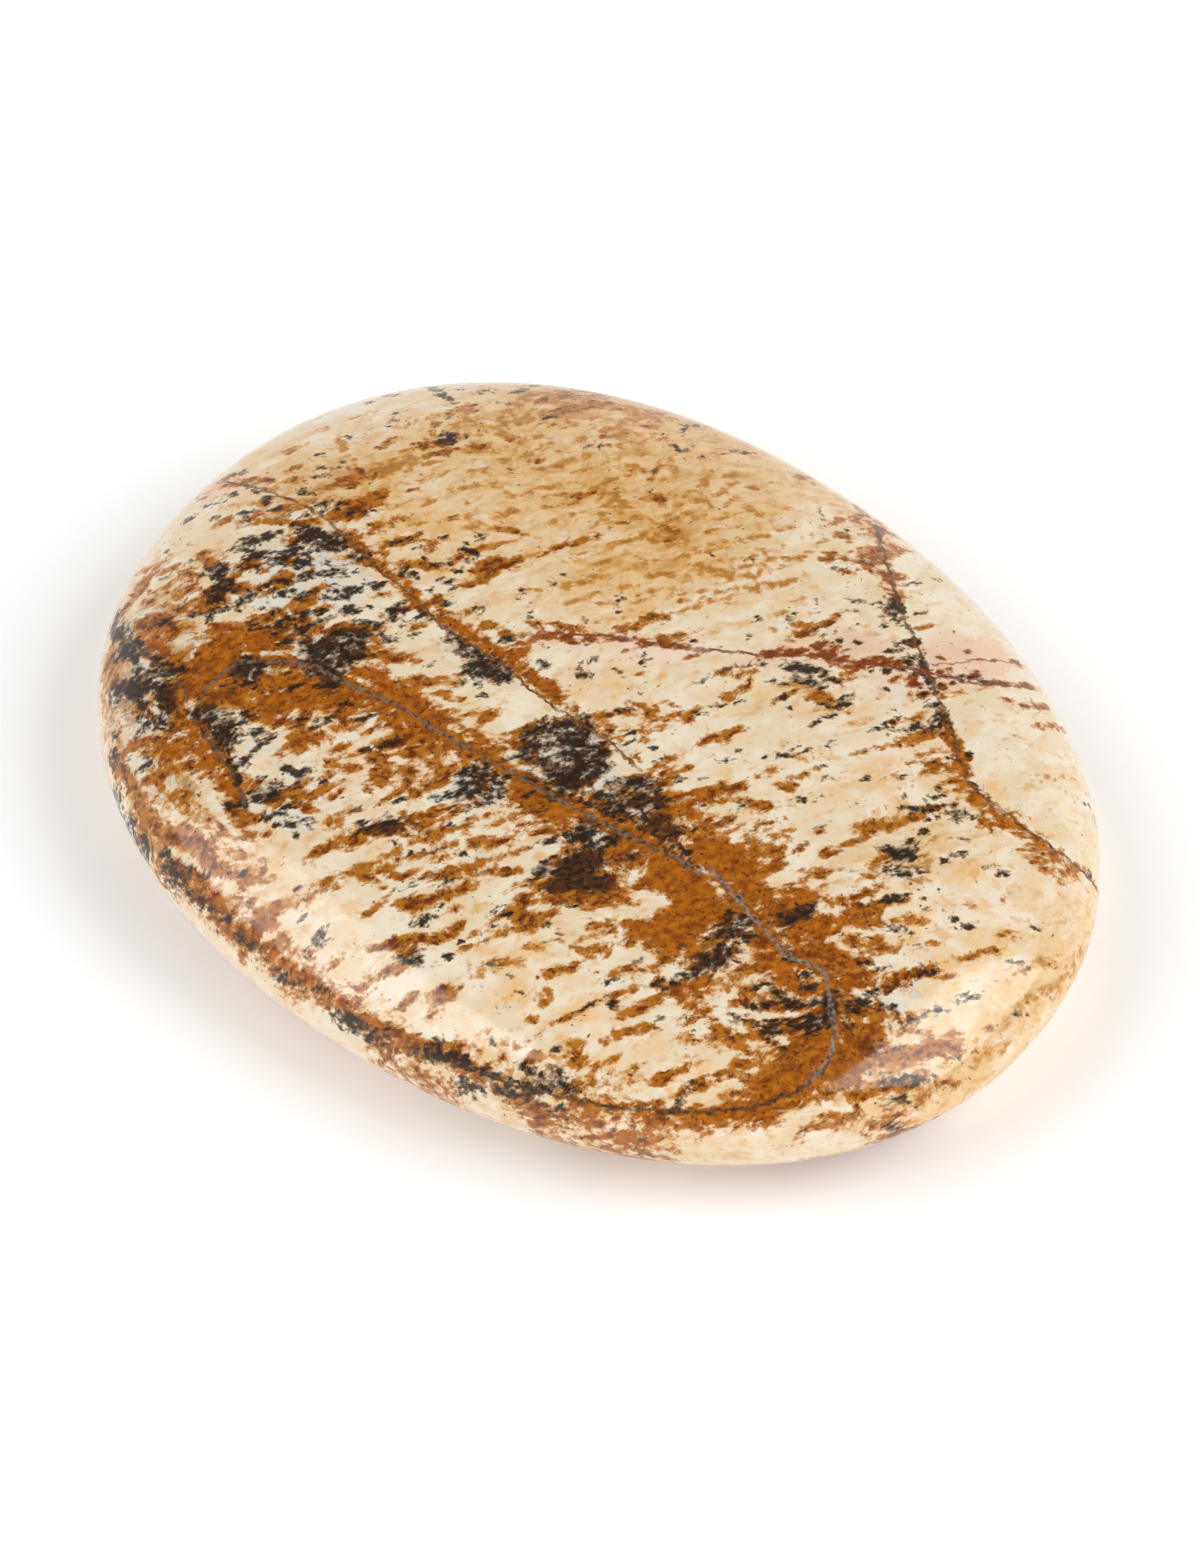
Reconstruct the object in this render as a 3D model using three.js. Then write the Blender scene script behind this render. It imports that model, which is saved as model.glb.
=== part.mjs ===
// A palm stone of picture jasper: a flat oval tablet, lapped and tumble polished all over.
//
// It is one solid piece of rock. Both faces are gently domed, the rim between them is
// rounded, and the underside ends in a small flat spot that the stone rests on.
// Millimetres, +Z up. The origin is the middle of the flat spot, and the long way is X.

import * as THREE from "three";
import { mergeVertices } from "three/addons/utils/BufferGeometryUtils.js";

// Driving dimensions
const LENGTH = 45; // along X
const WIDTH = 35; // along Y, at the middle of the length
const THICKNESS = 8; // from the flat spot to the crown of the top face
const TOP_SHARE = 0.51; // how much of the two domes' height lies above the rim's widest line
const FLAT_SHARE = 0.36; // the flat spot's size as a share of the plan
const TAPER = -0.043; // how much the width grows towards the +X end, as a share

// Shape of the curves
const PLAN_POWER = 2.13; // 2 is an ellipse, and a larger power is squarer
const DOME_POWER = 4; // 2 is an ellipse, and a larger power is flatter over the middle

// How finely the surface is divided
const SEGMENTS = 84; // around the rim
const RINGS = 32; // from the flat spot over the rim to the crown
const RIM_DETAIL = 0.6; // under 1 puts more of the rings near the rim, where it curves most

const signedPower = (base, power) => Math.sign(base) * Math.abs(base) ** power;

// Where the domes lie at a latitude, in radians: reach is 1 at the rim and 0 in the middle,
// and rise is the share of the dome's height above the rim's widest line, or below it.
function domeAt(latitude) {
  return {
    reach: Math.max(Math.cos(latitude), 0) ** (2 / DOME_POWER),
    rise: Math.sin(latitude),
  };
}

// The flat spot cuts the lower dome off at this latitude
const FLAT_LATITUDE = -Math.acos(FLAT_SHARE ** (DOME_POWER / 2));
const KEPT_OF_LOWER_DOME = -domeAt(FLAT_LATITUDE).rise;

const DOMES_HEIGHT = THICKNESS / (TOP_SHARE + (1 - TOP_SHARE) * KEPT_OF_LOWER_DOME);
const UPPER_DOME = DOMES_HEIGHT * TOP_SHARE;
const LOWER_DOME = DOMES_HEIGHT * (1 - TOP_SHARE);
const RIM_Z = LOWER_DOME * KEPT_OF_LOWER_DOME; // the rim's widest line, above the flat spot

// Half of the section through the stone: x is the share of the way out to the rim, and y is
// the height in millimetres. It starts in the middle of the flat spot and ends at the crown.
function sectionProfile() {
  const points = [new THREE.Vector2(0, 0)];
  for (let ring = 0; ring < RINGS; ring++) {
    const along = (2 * ring) / RINGS - 1; // -1 at the edge of the flat spot, 1 at the crown
    const eased = RIM_DETAIL * along + (1 - RIM_DETAIL) * along ** 3;
    const latitude = eased * (eased < 0 ? -FLAT_LATITUDE : Math.PI / 2);
    const { reach, rise } = domeAt(latitude);
    const height = rise * (rise < 0 ? LOWER_DOME : UPPER_DOME);
    points.push(new THREE.Vector2(reach, RIM_Z + height));
  }
  points.push(new THREE.Vector2(0, THICKNESS));
  return points;
}

// The outline seen from above: a slightly squared oval that narrows a little towards +X.
function planPoint(angle, reach) {
  const along = signedPower(Math.cos(angle), 2 / PLAN_POWER) * reach;
  const across = signedPower(Math.sin(angle), 2 / PLAN_POWER) * reach;
  return {
    x: (LENGTH / 2) * along,
    y: (WIDTH / 2) * across * (1 + TAPER * along),
  };
}

// A round lathe of the section, with each point moved out to the oval plan.
function stoneGeometry() {
  const turned = new THREE.LatheGeometry(sectionProfile(), SEGMENTS);
  turned.rotateX(Math.PI / 2); // the lathe turns about Y, and the stone stands on Z
  turned.deleteAttribute("normal");
  turned.deleteAttribute("uv");
  const position = turned.getAttribute("position");
  for (let i = 0; i < position.count; i++) {
    const reach = Math.hypot(position.getX(i), position.getY(i));
    const angle = Math.atan2(position.getY(i), position.getX(i));
    const { x, y } = planPoint(angle, reach);
    position.setXY(i, x, y);
  }
  const stone = mergeVertices(turned, 1e-4);
  stone.computeVertexNormals();
  return stone;
}

const polishedJasper = new THREE.MeshStandardMaterial({
  color: "#cfa878", // cream stone flecked with rust, seen as one colour
  roughness: 0.15,
  metalness: 0,
});

const stone = new THREE.Mesh(stoneGeometry(), polishedJasper);
stone.name = "jasper_stone";

const palmStone = new THREE.Group();
palmStone.add(stone);

export default palmStone;
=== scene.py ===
# %% [markdown]
# # A palm stone of picture jasper
#
# Picture jasper is a mudstone that silica has turned to a hard, opaque, fine-grained quartz.
# Iron soaked through its cracks while it hardened, and left rust, ochre and black stains in a
# cream ground. This one was sawn to a flat oval, ground round at the rim and tumble polished.
#
# The stone is one solid, so the model is one dense mesh, and nearly all of its looks are in
# the markings. The steps are: load the frame, set the camera, light the stage, form the
# stone, lay the markings over it, carve the fine relief, and mix the finish.

import math

import bpy
import numpy as np
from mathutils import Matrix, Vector


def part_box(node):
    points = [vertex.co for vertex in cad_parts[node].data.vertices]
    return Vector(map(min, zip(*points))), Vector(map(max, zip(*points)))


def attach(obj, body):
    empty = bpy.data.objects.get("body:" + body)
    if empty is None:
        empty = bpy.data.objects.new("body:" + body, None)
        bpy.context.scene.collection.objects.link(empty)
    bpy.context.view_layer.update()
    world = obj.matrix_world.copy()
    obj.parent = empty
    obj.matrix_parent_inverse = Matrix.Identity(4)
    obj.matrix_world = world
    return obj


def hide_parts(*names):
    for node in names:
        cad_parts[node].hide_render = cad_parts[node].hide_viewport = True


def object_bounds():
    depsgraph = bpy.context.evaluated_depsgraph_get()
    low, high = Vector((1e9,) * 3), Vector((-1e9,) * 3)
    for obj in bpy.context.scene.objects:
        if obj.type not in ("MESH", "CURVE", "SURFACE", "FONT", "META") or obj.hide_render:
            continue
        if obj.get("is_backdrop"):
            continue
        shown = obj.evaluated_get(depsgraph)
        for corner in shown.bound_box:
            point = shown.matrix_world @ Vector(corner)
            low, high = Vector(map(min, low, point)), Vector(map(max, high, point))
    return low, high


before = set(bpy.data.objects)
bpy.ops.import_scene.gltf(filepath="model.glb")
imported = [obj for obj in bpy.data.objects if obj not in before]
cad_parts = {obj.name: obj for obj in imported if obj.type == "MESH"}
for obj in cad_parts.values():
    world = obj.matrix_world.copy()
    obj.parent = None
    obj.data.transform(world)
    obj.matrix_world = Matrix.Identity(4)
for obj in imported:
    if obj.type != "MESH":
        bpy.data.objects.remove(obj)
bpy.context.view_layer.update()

MM = 0.001  # the scene is in metres, and the stone is thought of in millimetres
low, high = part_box("jasper_stone")
LENGTH = (high.x - low.x) / MM
THICKNESS = (high.z - low.z) / MM
print(f"The stone is {LENGTH:.1f} mm long and {THICKNESS:.1f} mm thick")

# %% [markdown]
# ## The camera
#
# A small glossy stone is usually photographed from well back with a long lens, so that its
# oval isn't stretched by perspective. A short lens close by would fill the frame as well, but
# it would widen the near end. The camera comes first, because it decides how fine every
# marking has to be.

# %% Camera
CAMERA_AZIMUTH = math.radians(38.7)
CAMERA_ELEVATION = math.radians(53.8)
CAMERA_DISTANCE = 315 * MM
LENS = 173.8  # in millimetres, on a sensor whose long side is SENSOR
SENSOR = 36
RIM_HEIGHT = 3.9 * MM  # the widest line of the rim, above the table
AIM_BELOW_CENTRE = 0.38 * MM
PICTURE_HEIGHT = 1551  # pixels

towards_camera = Vector((
    math.sin(CAMERA_AZIMUTH) * math.cos(CAMERA_ELEVATION),
    -math.cos(CAMERA_AZIMUTH) * math.cos(CAMERA_ELEVATION),
    math.sin(CAMERA_ELEVATION),
))
picture_right = Vector((math.cos(CAMERA_AZIMUTH), math.sin(CAMERA_AZIMUTH), 0))
picture_up = towards_camera.cross(picture_right)
aim = Vector((0, 0, RIM_HEIGHT)) - picture_up * AIM_BELOW_CENTRE

camera = bpy.data.objects.new("camera", bpy.data.cameras.new("camera"))
bpy.context.scene.collection.objects.link(camera)
camera.data.lens = LENS
camera.data.sensor_width = SENSOR
camera.data.dof.use_dof = False
camera.data.clip_start, camera.data.clip_end = 0.01, 10
camera.location = aim + towards_camera * CAMERA_DISTANCE
camera.rotation_mode = "QUATERNION"
camera.rotation_quaternion = towards_camera.to_track_quat("Z", "Y")
bpy.context.scene.camera = camera
pixels_per_mm = LENS / SENSOR * PICTURE_HEIGHT / (CAMERA_DISTANCE / MM)
print(f"The camera is {CAMERA_DISTANCE / MM:.0f} mm from the stone")
print(f"One millimetre of stone is about {pixels_per_mm:.0f} pixels wide")

# %% [markdown]
# ## The stage
#
# The stone lies on a light table, a sheet of matt white acrylic with a faint glow from below,
# so its shadow stays pale. Two softboxes stand left and right of the camera, a little above
# it, so each shows as a milky patch on a shoulder of the stone and the flat top stays clear.
# White walls stand round the table and whiten the rim, and the ceiling is dim, which keeps
# the black specks black. A picture of a studio could light the stone too, but lamps and
# plain walls can be tuned one by one. Placing the lamps by direction, as seen from the
# stone, makes it easy to predict where they reflect.

# %% The light table
def colour(hex_code):
    """An sRGB hex code as linear red, green, blue and alpha."""
    srgb = [int(hex_code[i:i + 2], 16) / 255 for i in (1, 3, 5)]
    linear = [c / 12.92 if c <= 0.04045 else ((c + 0.055) / 1.055) ** 2.4 for c in srgb]
    return (*linear, 1)


FLOOR_SIZE = 4.0  # metres
TABLE_GLOW = 0.12  # brightness of the light that comes through the acrylic
bpy.ops.mesh.primitive_plane_add(size=FLOOR_SIZE)
floor = bpy.context.object
floor.name = "light_table"
acrylic = bpy.data.materials.new("white_acrylic")
acrylic.use_nodes = True
table_shader = acrylic.node_tree.nodes["Principled BSDF"]
table_shader.inputs["Base Color"].default_value = colour("#ffffff")
table_shader.inputs["Roughness"].default_value = 0.9
table_shader.inputs["Specular IOR Level"].default_value = 0.0  # matt, so it mirrors nothing
table_shader.inputs["Emission Color"].default_value = colour("#ffffff")
table_shader.inputs["Emission Strength"].default_value = TABLE_GLOW
floor.data.materials.append(acrylic)
floor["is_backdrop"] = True
print(f"The light table is {FLOOR_SIZE:.0f} m wide")

# %% Two softboxes
picture_away = Vector((0, 0, 1)).cross(picture_right)


def softbox(name, right, away, up, distance, size, watts):
    """A square area light in that direction from the stone, given as the camera sees it."""
    direction = (picture_right * right + picture_away * away + Vector((0, 0, up))).normalized()
    lamp = bpy.data.objects.new(name, bpy.data.lights.new(name, "AREA"))
    lamp.data.shape = "SQUARE"
    lamp.data.size = size
    lamp.data.energy = watts
    lamp.location = direction * distance
    lamp.rotation_mode = "QUATERNION"
    lamp.rotation_quaternion = direction.to_track_quat("Z", "Y")
    bpy.context.scene.collection.objects.link(lamp)
    print(f"{name} stands {distance:.1f} m away and gives {watts} W")


softbox("softbox_left", -0.66, -0.12, 0.74, distance=0.7, size=0.5, watts=2.2)
softbox("softbox_right", 0.68, -0.20, 0.74, distance=0.7, size=0.5, watts=2.9)


# %% A helper that adds a node
def add(kind, inputs, output=None, **settings):
    """Adds a node to tree with its settings, and with links or values for its inputs.

    It returns the named output, or else the first one that is in use.
    """
    made = tree.nodes.new("ShaderNode" + kind)
    for name, value in settings.items():
        setattr(made, name, value)
    for name, value in inputs.items():
        by_name = (s for s in made.inputs if s.enabled and s.name == name)
        socket = made.inputs[name] if isinstance(name, int) else next(by_name)
        if isinstance(value, bpy.types.NodeSocket):
            tree.links.new(value, socket)
        else:
            socket.default_value = value
    if output:
        return made.outputs[output]
    return next(s for s in made.outputs if s.enabled)


# %% White walls and a dim ceiling
WALLS = 1.05  # brightness of the white walls round the table
CEILING = 0.13  # brightness of the dim room above them
WALL_TOP = math.sin(math.radians(14))  # where the walls begin to give way to the ceiling
CEILING_EDGE = math.sin(math.radians(38))

world = bpy.data.worlds.new("studio")
bpy.context.scene.world = world
world.use_nodes = True
tree = world.node_tree
outwards = add("TexCoord", {}, "Generated")
upwards = add("SeparateXYZ", {"Vector": outwards}, "Z")
room = add("MapRange", {
    "Value": upwards, "From Min": WALL_TOP, "From Max": CEILING_EDGE,
    "To Min": WALLS, "To Max": CEILING,
})
background = tree.nodes["Background"]
background.inputs["Color"].default_value = colour("#ffffff")
tree.links.new(room, background.inputs["Strength"])
bpy.context.scene.view_settings.view_transform = "Standard"  # hex colours come out as given
print(f"The walls shine at {WALLS} and the ceiling at {CEILING}")

# %% [markdown]
# ## The form of the stone
#
# A lapidary grinds the blank to an oval template, rounds the rim and domes both faces. The
# same formula as the solid's gives that form: a slightly squared oval for the plan, and two
# low domes that meet at the rim. A lathe would crowd its vertices at the crown, so this uses
# a square grid bent to the oval. Its cells stay nearly even, which the relief needs.

# %% Formula of the surface
WIDTH = 35.0  # across the middle of the length
TOP_SHARE = 0.51  # how much of the two domes' height lies above the rim's widest line
FLAT_SHARE = 0.36  # the flat spot's size as a share of the plan
TAPER = -0.043  # how much the width grows towards the +X end, as a share
PLAN_POWER = 2.13  # 2 would be an ellipse, and more is squarer
DOME_POWER = 4  # the domes are flat over the middle and round at the rim

FLAT_LATITUDE = -math.acos(FLAT_SHARE ** (DOME_POWER / 2))
KEPT_OF_LOWER_DOME = -math.sin(FLAT_LATITUDE)
DOMES_HEIGHT = THICKNESS / (TOP_SHARE + (1 - TOP_SHARE) * KEPT_OF_LOWER_DOME)
UPPER_DOME = DOMES_HEIGHT * TOP_SHARE
LOWER_DOME = DOMES_HEIGHT * (1 - TOP_SHARE)
RIM_Z = LOWER_DOME * KEPT_OF_LOWER_DOME


def signed_power(base, power):
    """A power that keeps the sign of its base."""
    return np.sign(base) * np.abs(base) ** power


def section(latitude):
    """Reach from the middle, 0 to 1, and height in millimetres, at latitudes on the domes."""
    rise = np.sin(latitude)
    height = RIM_Z + rise * np.where(rise < 0, LOWER_DOME, UPPER_DOME)
    return np.abs(np.cos(latitude)) ** (2 / DOME_POWER), height


SECTION_SAMPLES = 4000


def even_section(start, end, rings, flat=False):
    """Reach and height of rings spaced evenly along the section, from the middle outwards.

    With flat, the rings start in the middle of the flat spot.
    """
    reach, height = section(np.linspace(start, end, SECTION_SAMPLES))
    if flat:
        reach, height = np.append(0, reach), np.append(0, height)
    mean_radius = (LENGTH + WIDTH) / 4
    step = np.hypot(np.diff(reach) * mean_radius, np.diff(height))
    travelled = np.append(0, np.cumsum(step))
    stops = np.linspace(0, travelled[-1], rings + 1)
    return np.interp(stops, travelled, reach), np.interp(stops, travelled, height)


def surface_point(reach, angle, height):
    """Points in millimetres at that share of the way out to the oval's edge."""
    along = signed_power(np.cos(angle), 2 / PLAN_POWER) * reach
    across = signed_power(np.sin(angle), 2 / PLAN_POWER) * reach
    x = LENGTH / 2 * along
    y = WIDTH / 2 * across * (1 + TAPER * along)
    return np.stack([x, y, height], axis=-1)


print(f"The rim's widest line is {RIM_Z:.2f} mm above the table")

# %% Points of the stone
RINGS = 110  # from the crown to the rim, and again from the flat spot to the rim

steps = np.arange(-RINGS, RINGS + 1)
grid_v, grid_u = np.meshgrid(steps, steps, indexing="ij")
ring = np.maximum(abs(grid_u), abs(grid_v))
with np.errstate(divide="ignore", invalid="ignore"):
    angle = np.where(
        abs(grid_u) >= abs(grid_v),
        np.pi / 4 * grid_v / grid_u + np.where(grid_u < 0, np.pi, 0),
        np.pi / 2 - np.pi / 4 * grid_u / grid_v + np.where(grid_v < 0, np.pi, 0),
    )
angle = np.nan_to_num(angle)

top_reach, top_height = even_section(np.pi / 2, 0, RINGS)
under_reach, under_height = even_section(FLAT_LATITUDE, 0, RINGS, flat=True)
top_points = surface_point(top_reach[ring], angle, top_height[ring]).reshape(-1, 3)
under_points = surface_point(under_reach[ring], angle, under_height[ring]).reshape(-1, 3)

inside_rim = (ring < RINGS).ravel()
points = np.concatenate([top_points, under_points[inside_rim]])
print(f"The mesh has {len(points)} vertices")

# %% Faces of the stone
number = np.arange(ring.size).reshape(ring.shape)
under_number = number.ravel().copy()  # the rim's vertices belong to both faces
under_number[inside_rim] = ring.size + np.arange(inside_rim.sum())
under_number = under_number.reshape(ring.shape)


def cells(numbers):
    """The four corners of every cell of a grid, anticlockwise."""
    corners = numbers[:-1, :-1], numbers[:-1, 1:], numbers[1:, 1:], numbers[1:, :-1]
    return np.stack(corners, axis=-1).reshape(-1, 4)


faces = np.concatenate([cells(number), cells(under_number)[:, ::-1]])
print(f"Its {len(faces)} four-sided cells make {2 * len(faces)} triangles")

# %% Make the mesh
mesh = bpy.data.meshes.new("picture_jasper")
mesh.from_pydata((points * MM).tolist(), [], faces.tolist())
mesh.shade_smooth()
flat_normals = np.zeros(points.size)
mesh.vertices.foreach_get("normal", flat_normals)
normals = flat_normals.reshape(-1, 3)
stone = bpy.data.objects.new("picture_jasper", mesh)
bpy.context.scene.collection.objects.link(stone)
print(f"{stone.name} is {stone.dimensions.x / MM:.2f} x {stone.dimensions.y / MM:.2f} mm")

# %% [markdown]
# ## A flat map
#
# The finish is worked out from places in the stone and needs no map. Programs that can't
# work it out read its colours from a picture instead, and for them the stone carries a map:
# the top face as one flat oval, and above it the underside as a smaller one. Each oval is
# the square grid itself, pressed flat, so no cell is folded or lies over another.

# %% A flat map of the surface
TOP_OF_MAP = 0.62  # the share of the map's height that the top face gets
MARGIN = 0.98  # the share of its strip that an oval fills
MAP_WIDTH = 1.01 * WIDTH  # the taper makes the stone a little wider than its middle

oval = surface_point(ring / RINGS, angle, 0 * angle)[..., :2].reshape(-1, 2) / MAP_WIDTH
top_map = 0.5 + oval * MARGIN * TOP_OF_MAP
top_map[:, 1] += TOP_OF_MAP / 2 - 0.5
under_map = 0.5 + oval * (-1, 1) * MARGIN * (1 - TOP_OF_MAP)
under_map[:, 1] += TOP_OF_MAP / 2
cell_corners = cells(number)
corner_maps = np.concatenate([top_map[cell_corners], under_map[cell_corners[:, ::-1]]])
flat_map = mesh.uv_layers.new(name="OFBake")
flat_map.uv.foreach_set("vector", corner_maps.astype(np.float32).ravel())
print(f"The map has {len(flat_map.uv)} corners")

# %% [markdown]
# ## Where the markings lie
#
# The veins are healed cracks, and the stains spread from them, so both cut right through the
# stone at a slant. An image could be wrapped over the top, but it would smear at the rim and
# stop there. So each marking is laid on a flat plan in millimetres, and every vertex reads
# the plan at the place where the slanting sheet through it meets the top. The same
# markings then turn over the rim and come out shifted on the underside, as they do in rock.

# %% Plan place of every vertex
SLANT = (0.45, 0.3)  # how far the sheets run along X and Y for each millimetre down

below_rim = np.minimum(points[:, 2] - RIM_Z, 0)
plan_x = points[:, 0] + SLANT[0] * below_rim
plan_y = points[:, 1] + SLANT[1] * below_rim


def keep(name, values):
    """Stores one number, or three, for every vertex, for the finish to read."""
    kind, field = ("FLOAT", "value") if values.ndim == 1 else ("FLOAT_VECTOR", "vector")
    mesh.attributes.new(name, kind, "POINT").data.foreach_set(field, values.ravel())


keep("place", np.stack([plan_x, plan_y, points[:, 2]], axis=-1))
print(f"The sheets shift by {SLANT[0] * RIM_Z:.1f} and {SLANT[1] * RIM_Z:.1f} mm at the underside")

# %% [markdown]
# ## Veins
#
# Each vein is a route of a few points on the plan, rounded by a spline. A vertex stores how
# far it lies to the side of the route. A line painted on vertices could be no finer than
# the mesh, but a distance stays exact between them, so the finish can draw a tenth of a
# millimetre from it.

# %% Vein routes
VEINS = {  # points in millimetres on the plan
    "flooded": [
        (-13.7, -10.0), (-13.9, -8.6), (-13.6, -7.3), (-12.4, -6.4), (-10.8, -5.7), (-8.8, -5.5),
        (-6.5, -5.1), (-4, -5.1), (-1.3, -4.9), (1.8, -4.65), (4.5, -4.45), (6.8, -4.1), (8.9, -3.95),
    ],
    "lilac": [
        (8.4, -3.45), (10.5, -4.0), (12.2, -4.45), (13.8, -4.75), (15.1, -4.4), (16.3, -5.3),
        (17.2, -6.3), (17.7, -7.5), (17.4, -8.8),
    ],
    "tail": [
        (17.7, -7.5), (17.4, -8.8), (16.6, -10.3), (15, -11.9), (13.3, -13.1), (11.2, -14.3),
        (9, -15.2), (6.4, -16.0),
    ],
    "straight": [
        (-21.9, 0.6), (-19, 0.85), (-16, 0.9), (-14, 0.5), (-12, -0.05), (-9.6, -0.35),
        (-7.6, -0.75), (-4.4, -0.8), (-2.6, -1.1), (-0.8, -1.1), (1.5, -1.15), (3.7, -1.5),
    ],
    "border": [
        (1.8, 16.6), (2.7, 15.6), (4.5, 14.0), (6, 12.7), (8, 11.3), (10, 9.9), (12, 8.5),
        (13.4, 7.4), (14.2, 6.9), (15.5, 6.85), (17.5, 6.95), (19.3, 7.35), (21, 7.9),
    ],
    "red": [
        (-5, 0.9), (-3.3, 2.4), (-1.2, 3.6), (0.5, 4.5), (2.2, 5.6), (3.5, 6.4), (4.7, 7.5),
        (6.3, 8.4), (8, 9.6), (9.4, 10.5), (10.5, 11.1), (11.4, 11.9), (12.1, 12.9), (12.6, 13.9),
    ],
    "red_branch": [(8.8, 10.4), (9.7, 11.7), (10.4, 12.9), (11, 13.9), (11.4, 14.7)],
    "short": [(-13.8, -10.4), (-12.0, -11.0), (-10.0, -11.8), (-8.9, -12.5), (-8.2, -13.1)],
    "left": [(-20.4, -7.8), (-18.5, -8.4), (-16.4, -9.1), (-15.2, -9.3), (-13.8, -10.2)],
}
print(f"{len(VEINS)} veins run through {sum(len(route) for route in VEINS.values())} points")

# %% Distance to the veins
STEPS_PER_SPAN = 6
END_FADE = 0.8  # millimetres over which a vein dies out at each end
REACH = 1.2  # millimetres to each side over which a vein's distance is trusted


def rounded(route):
    """The route as a smooth curve through its points."""
    p = np.array([route[0], *route, route[-1]], float)
    p[0], p[-1] = 2 * p[1] - p[2], 2 * p[-2] - p[-3]
    t = np.linspace(0, 1, STEPS_PER_SPAN, endpoint=False)[:, None]
    spans = [
        b + t * (c - a) / 2 + t**2 * (a - 2.5 * b + 2 * c - d / 2)
        + t**3 * (1.5 * (b - c) + (d - a) / 2)
        for a, b, c, d in zip(p, p[1:], p[2:], p[3:])
    ]
    return np.concatenate([*spans, p[-2:-1]])


def beside(route):
    """Distance to the side, distance along and strength at every vertex, and the length."""
    curve = rounded(route)
    nearest = np.full(len(points), np.inf)
    side, along = np.zeros(len(points)), np.zeros(len(points))
    travelled = 0.0
    for i, (start, end) in enumerate(zip(curve, curve[1:])):
        span = np.linalg.norm(end - start)
        ahead = (end - start) / span
        dx, dy = plan_x - start[0], plan_y - start[1]
        forward = dx * ahead[0] + dy * ahead[1]
        sideways = dy * ahead[0] - dx * ahead[1]
        on_span = np.clip(forward, 0, span)
        distance = np.hypot(sideways, forward - on_span)
        closer = distance < nearest
        nearest[closer] = distance[closer]
        first, last = i == 0, i == len(curve) - 2
        past_end = (first & (forward < 0)) | (last & (forward > span))
        value = np.where(past_end, sideways, np.copysign(distance, sideways))
        side[closer] = value[closer]
        along[closer] = (travelled + forward)[closer]
        travelled += span
    ends = np.clip(np.minimum(along, travelled - along) / END_FADE, 0, 1)
    near = np.clip((REACH - nearest) / (REACH / 2), 0, 1)
    return np.stack([side, along, ends * near], axis=-1), travelled


beside_vein = {}
for name, route in VEINS.items():
    beside_vein[name], run = beside(route)
    keep("vein_" + name, beside_vein[name])
    print(f"The {name} vein runs {run:.0f} mm")

# %% [markdown]
# ## Relief
#
# Polish follows the hardness of the rock. The wheel leaves the faces a hundredth of a
# millimetre out of true, which bends the reflections a little. The softer filling of the
# wide veins wears down first and leaves a shallow dip. Bump could bend the reflections too,
# but real relief stays in the mesh for any program that reads it. Both only take rock away,
# so every vertex moves inwards along its normal.

# %% Relief of the polish
WAVE = 0.006  # millimetres, half the height of the waves that the wheel leaves
DIP = 0.02  # millimetres that the vein filling is worn down
DIP_WIDTH = 0.35  # millimetres from the middle of the dip to where it is nearly level
WHEEL_WAVES = (  # length in millimetres, direction in degrees, and start in radians
    (11.0, 20, 0.3),
    (7.3, 75, 1.9),
    (5.1, 130, 4.0),
)

waves = np.zeros(len(points))
for length, lean, start in WHEEL_WAVES:
    turn = math.radians(lean)
    way = (points[:, 0] * math.cos(turn) + points[:, 1] * math.sin(turn)) * 2 * math.pi / length
    waves += np.sin(way + start) / len(WHEEL_WAVES)
worn = WAVE * (1 + waves)
for name in ("flooded", "lilac", "border"):
    side, _, strength = beside_vein[name].T
    worn += DIP * strength * np.exp(-((side / DIP_WIDTH) ** 2))
relief_points = points - normals * worn[:, None]
mesh.vertices.foreach_set("co", (relief_points * MM).ravel())
mesh.update()
print(f"The relief takes away {worn.min():.3f} to {worn.max():.3f} mm")

# %% [markdown]
# ## Stains
#
# Iron crept out of the cracks in feathery streaks that nearly all lean the same way. Near a
# crack it filled the rock solidly, in ochre, and further out it left rust. Manganese left the
# black clusters. Noise alone would put such stains anywhere, and an image would have to be
# wrapped over the rim. So each stain is laid in listed strokes, as with a soft brush. The
# strokes say only how likely the stain is at a place. The finish breaks them up with noise,
# and that gives the ragged mineral edge.
#
# A stroke is its place, length and width, in millimetres on the plan, and its lean in
# degrees from the X axis where that isn't the usual one. The strokes of one stain are
# grouped by strength, the share of the rock that the stain fills in the middle of a stroke.
# A long group runs from the left over the middle to the right end, then along the top, and
# ends with a few touches all over.

# %% Ochre strokes
def count(strokes):
    """The number of strokes in all groups of one stain."""
    return sum(len(group) for group in strokes.values())


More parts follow.
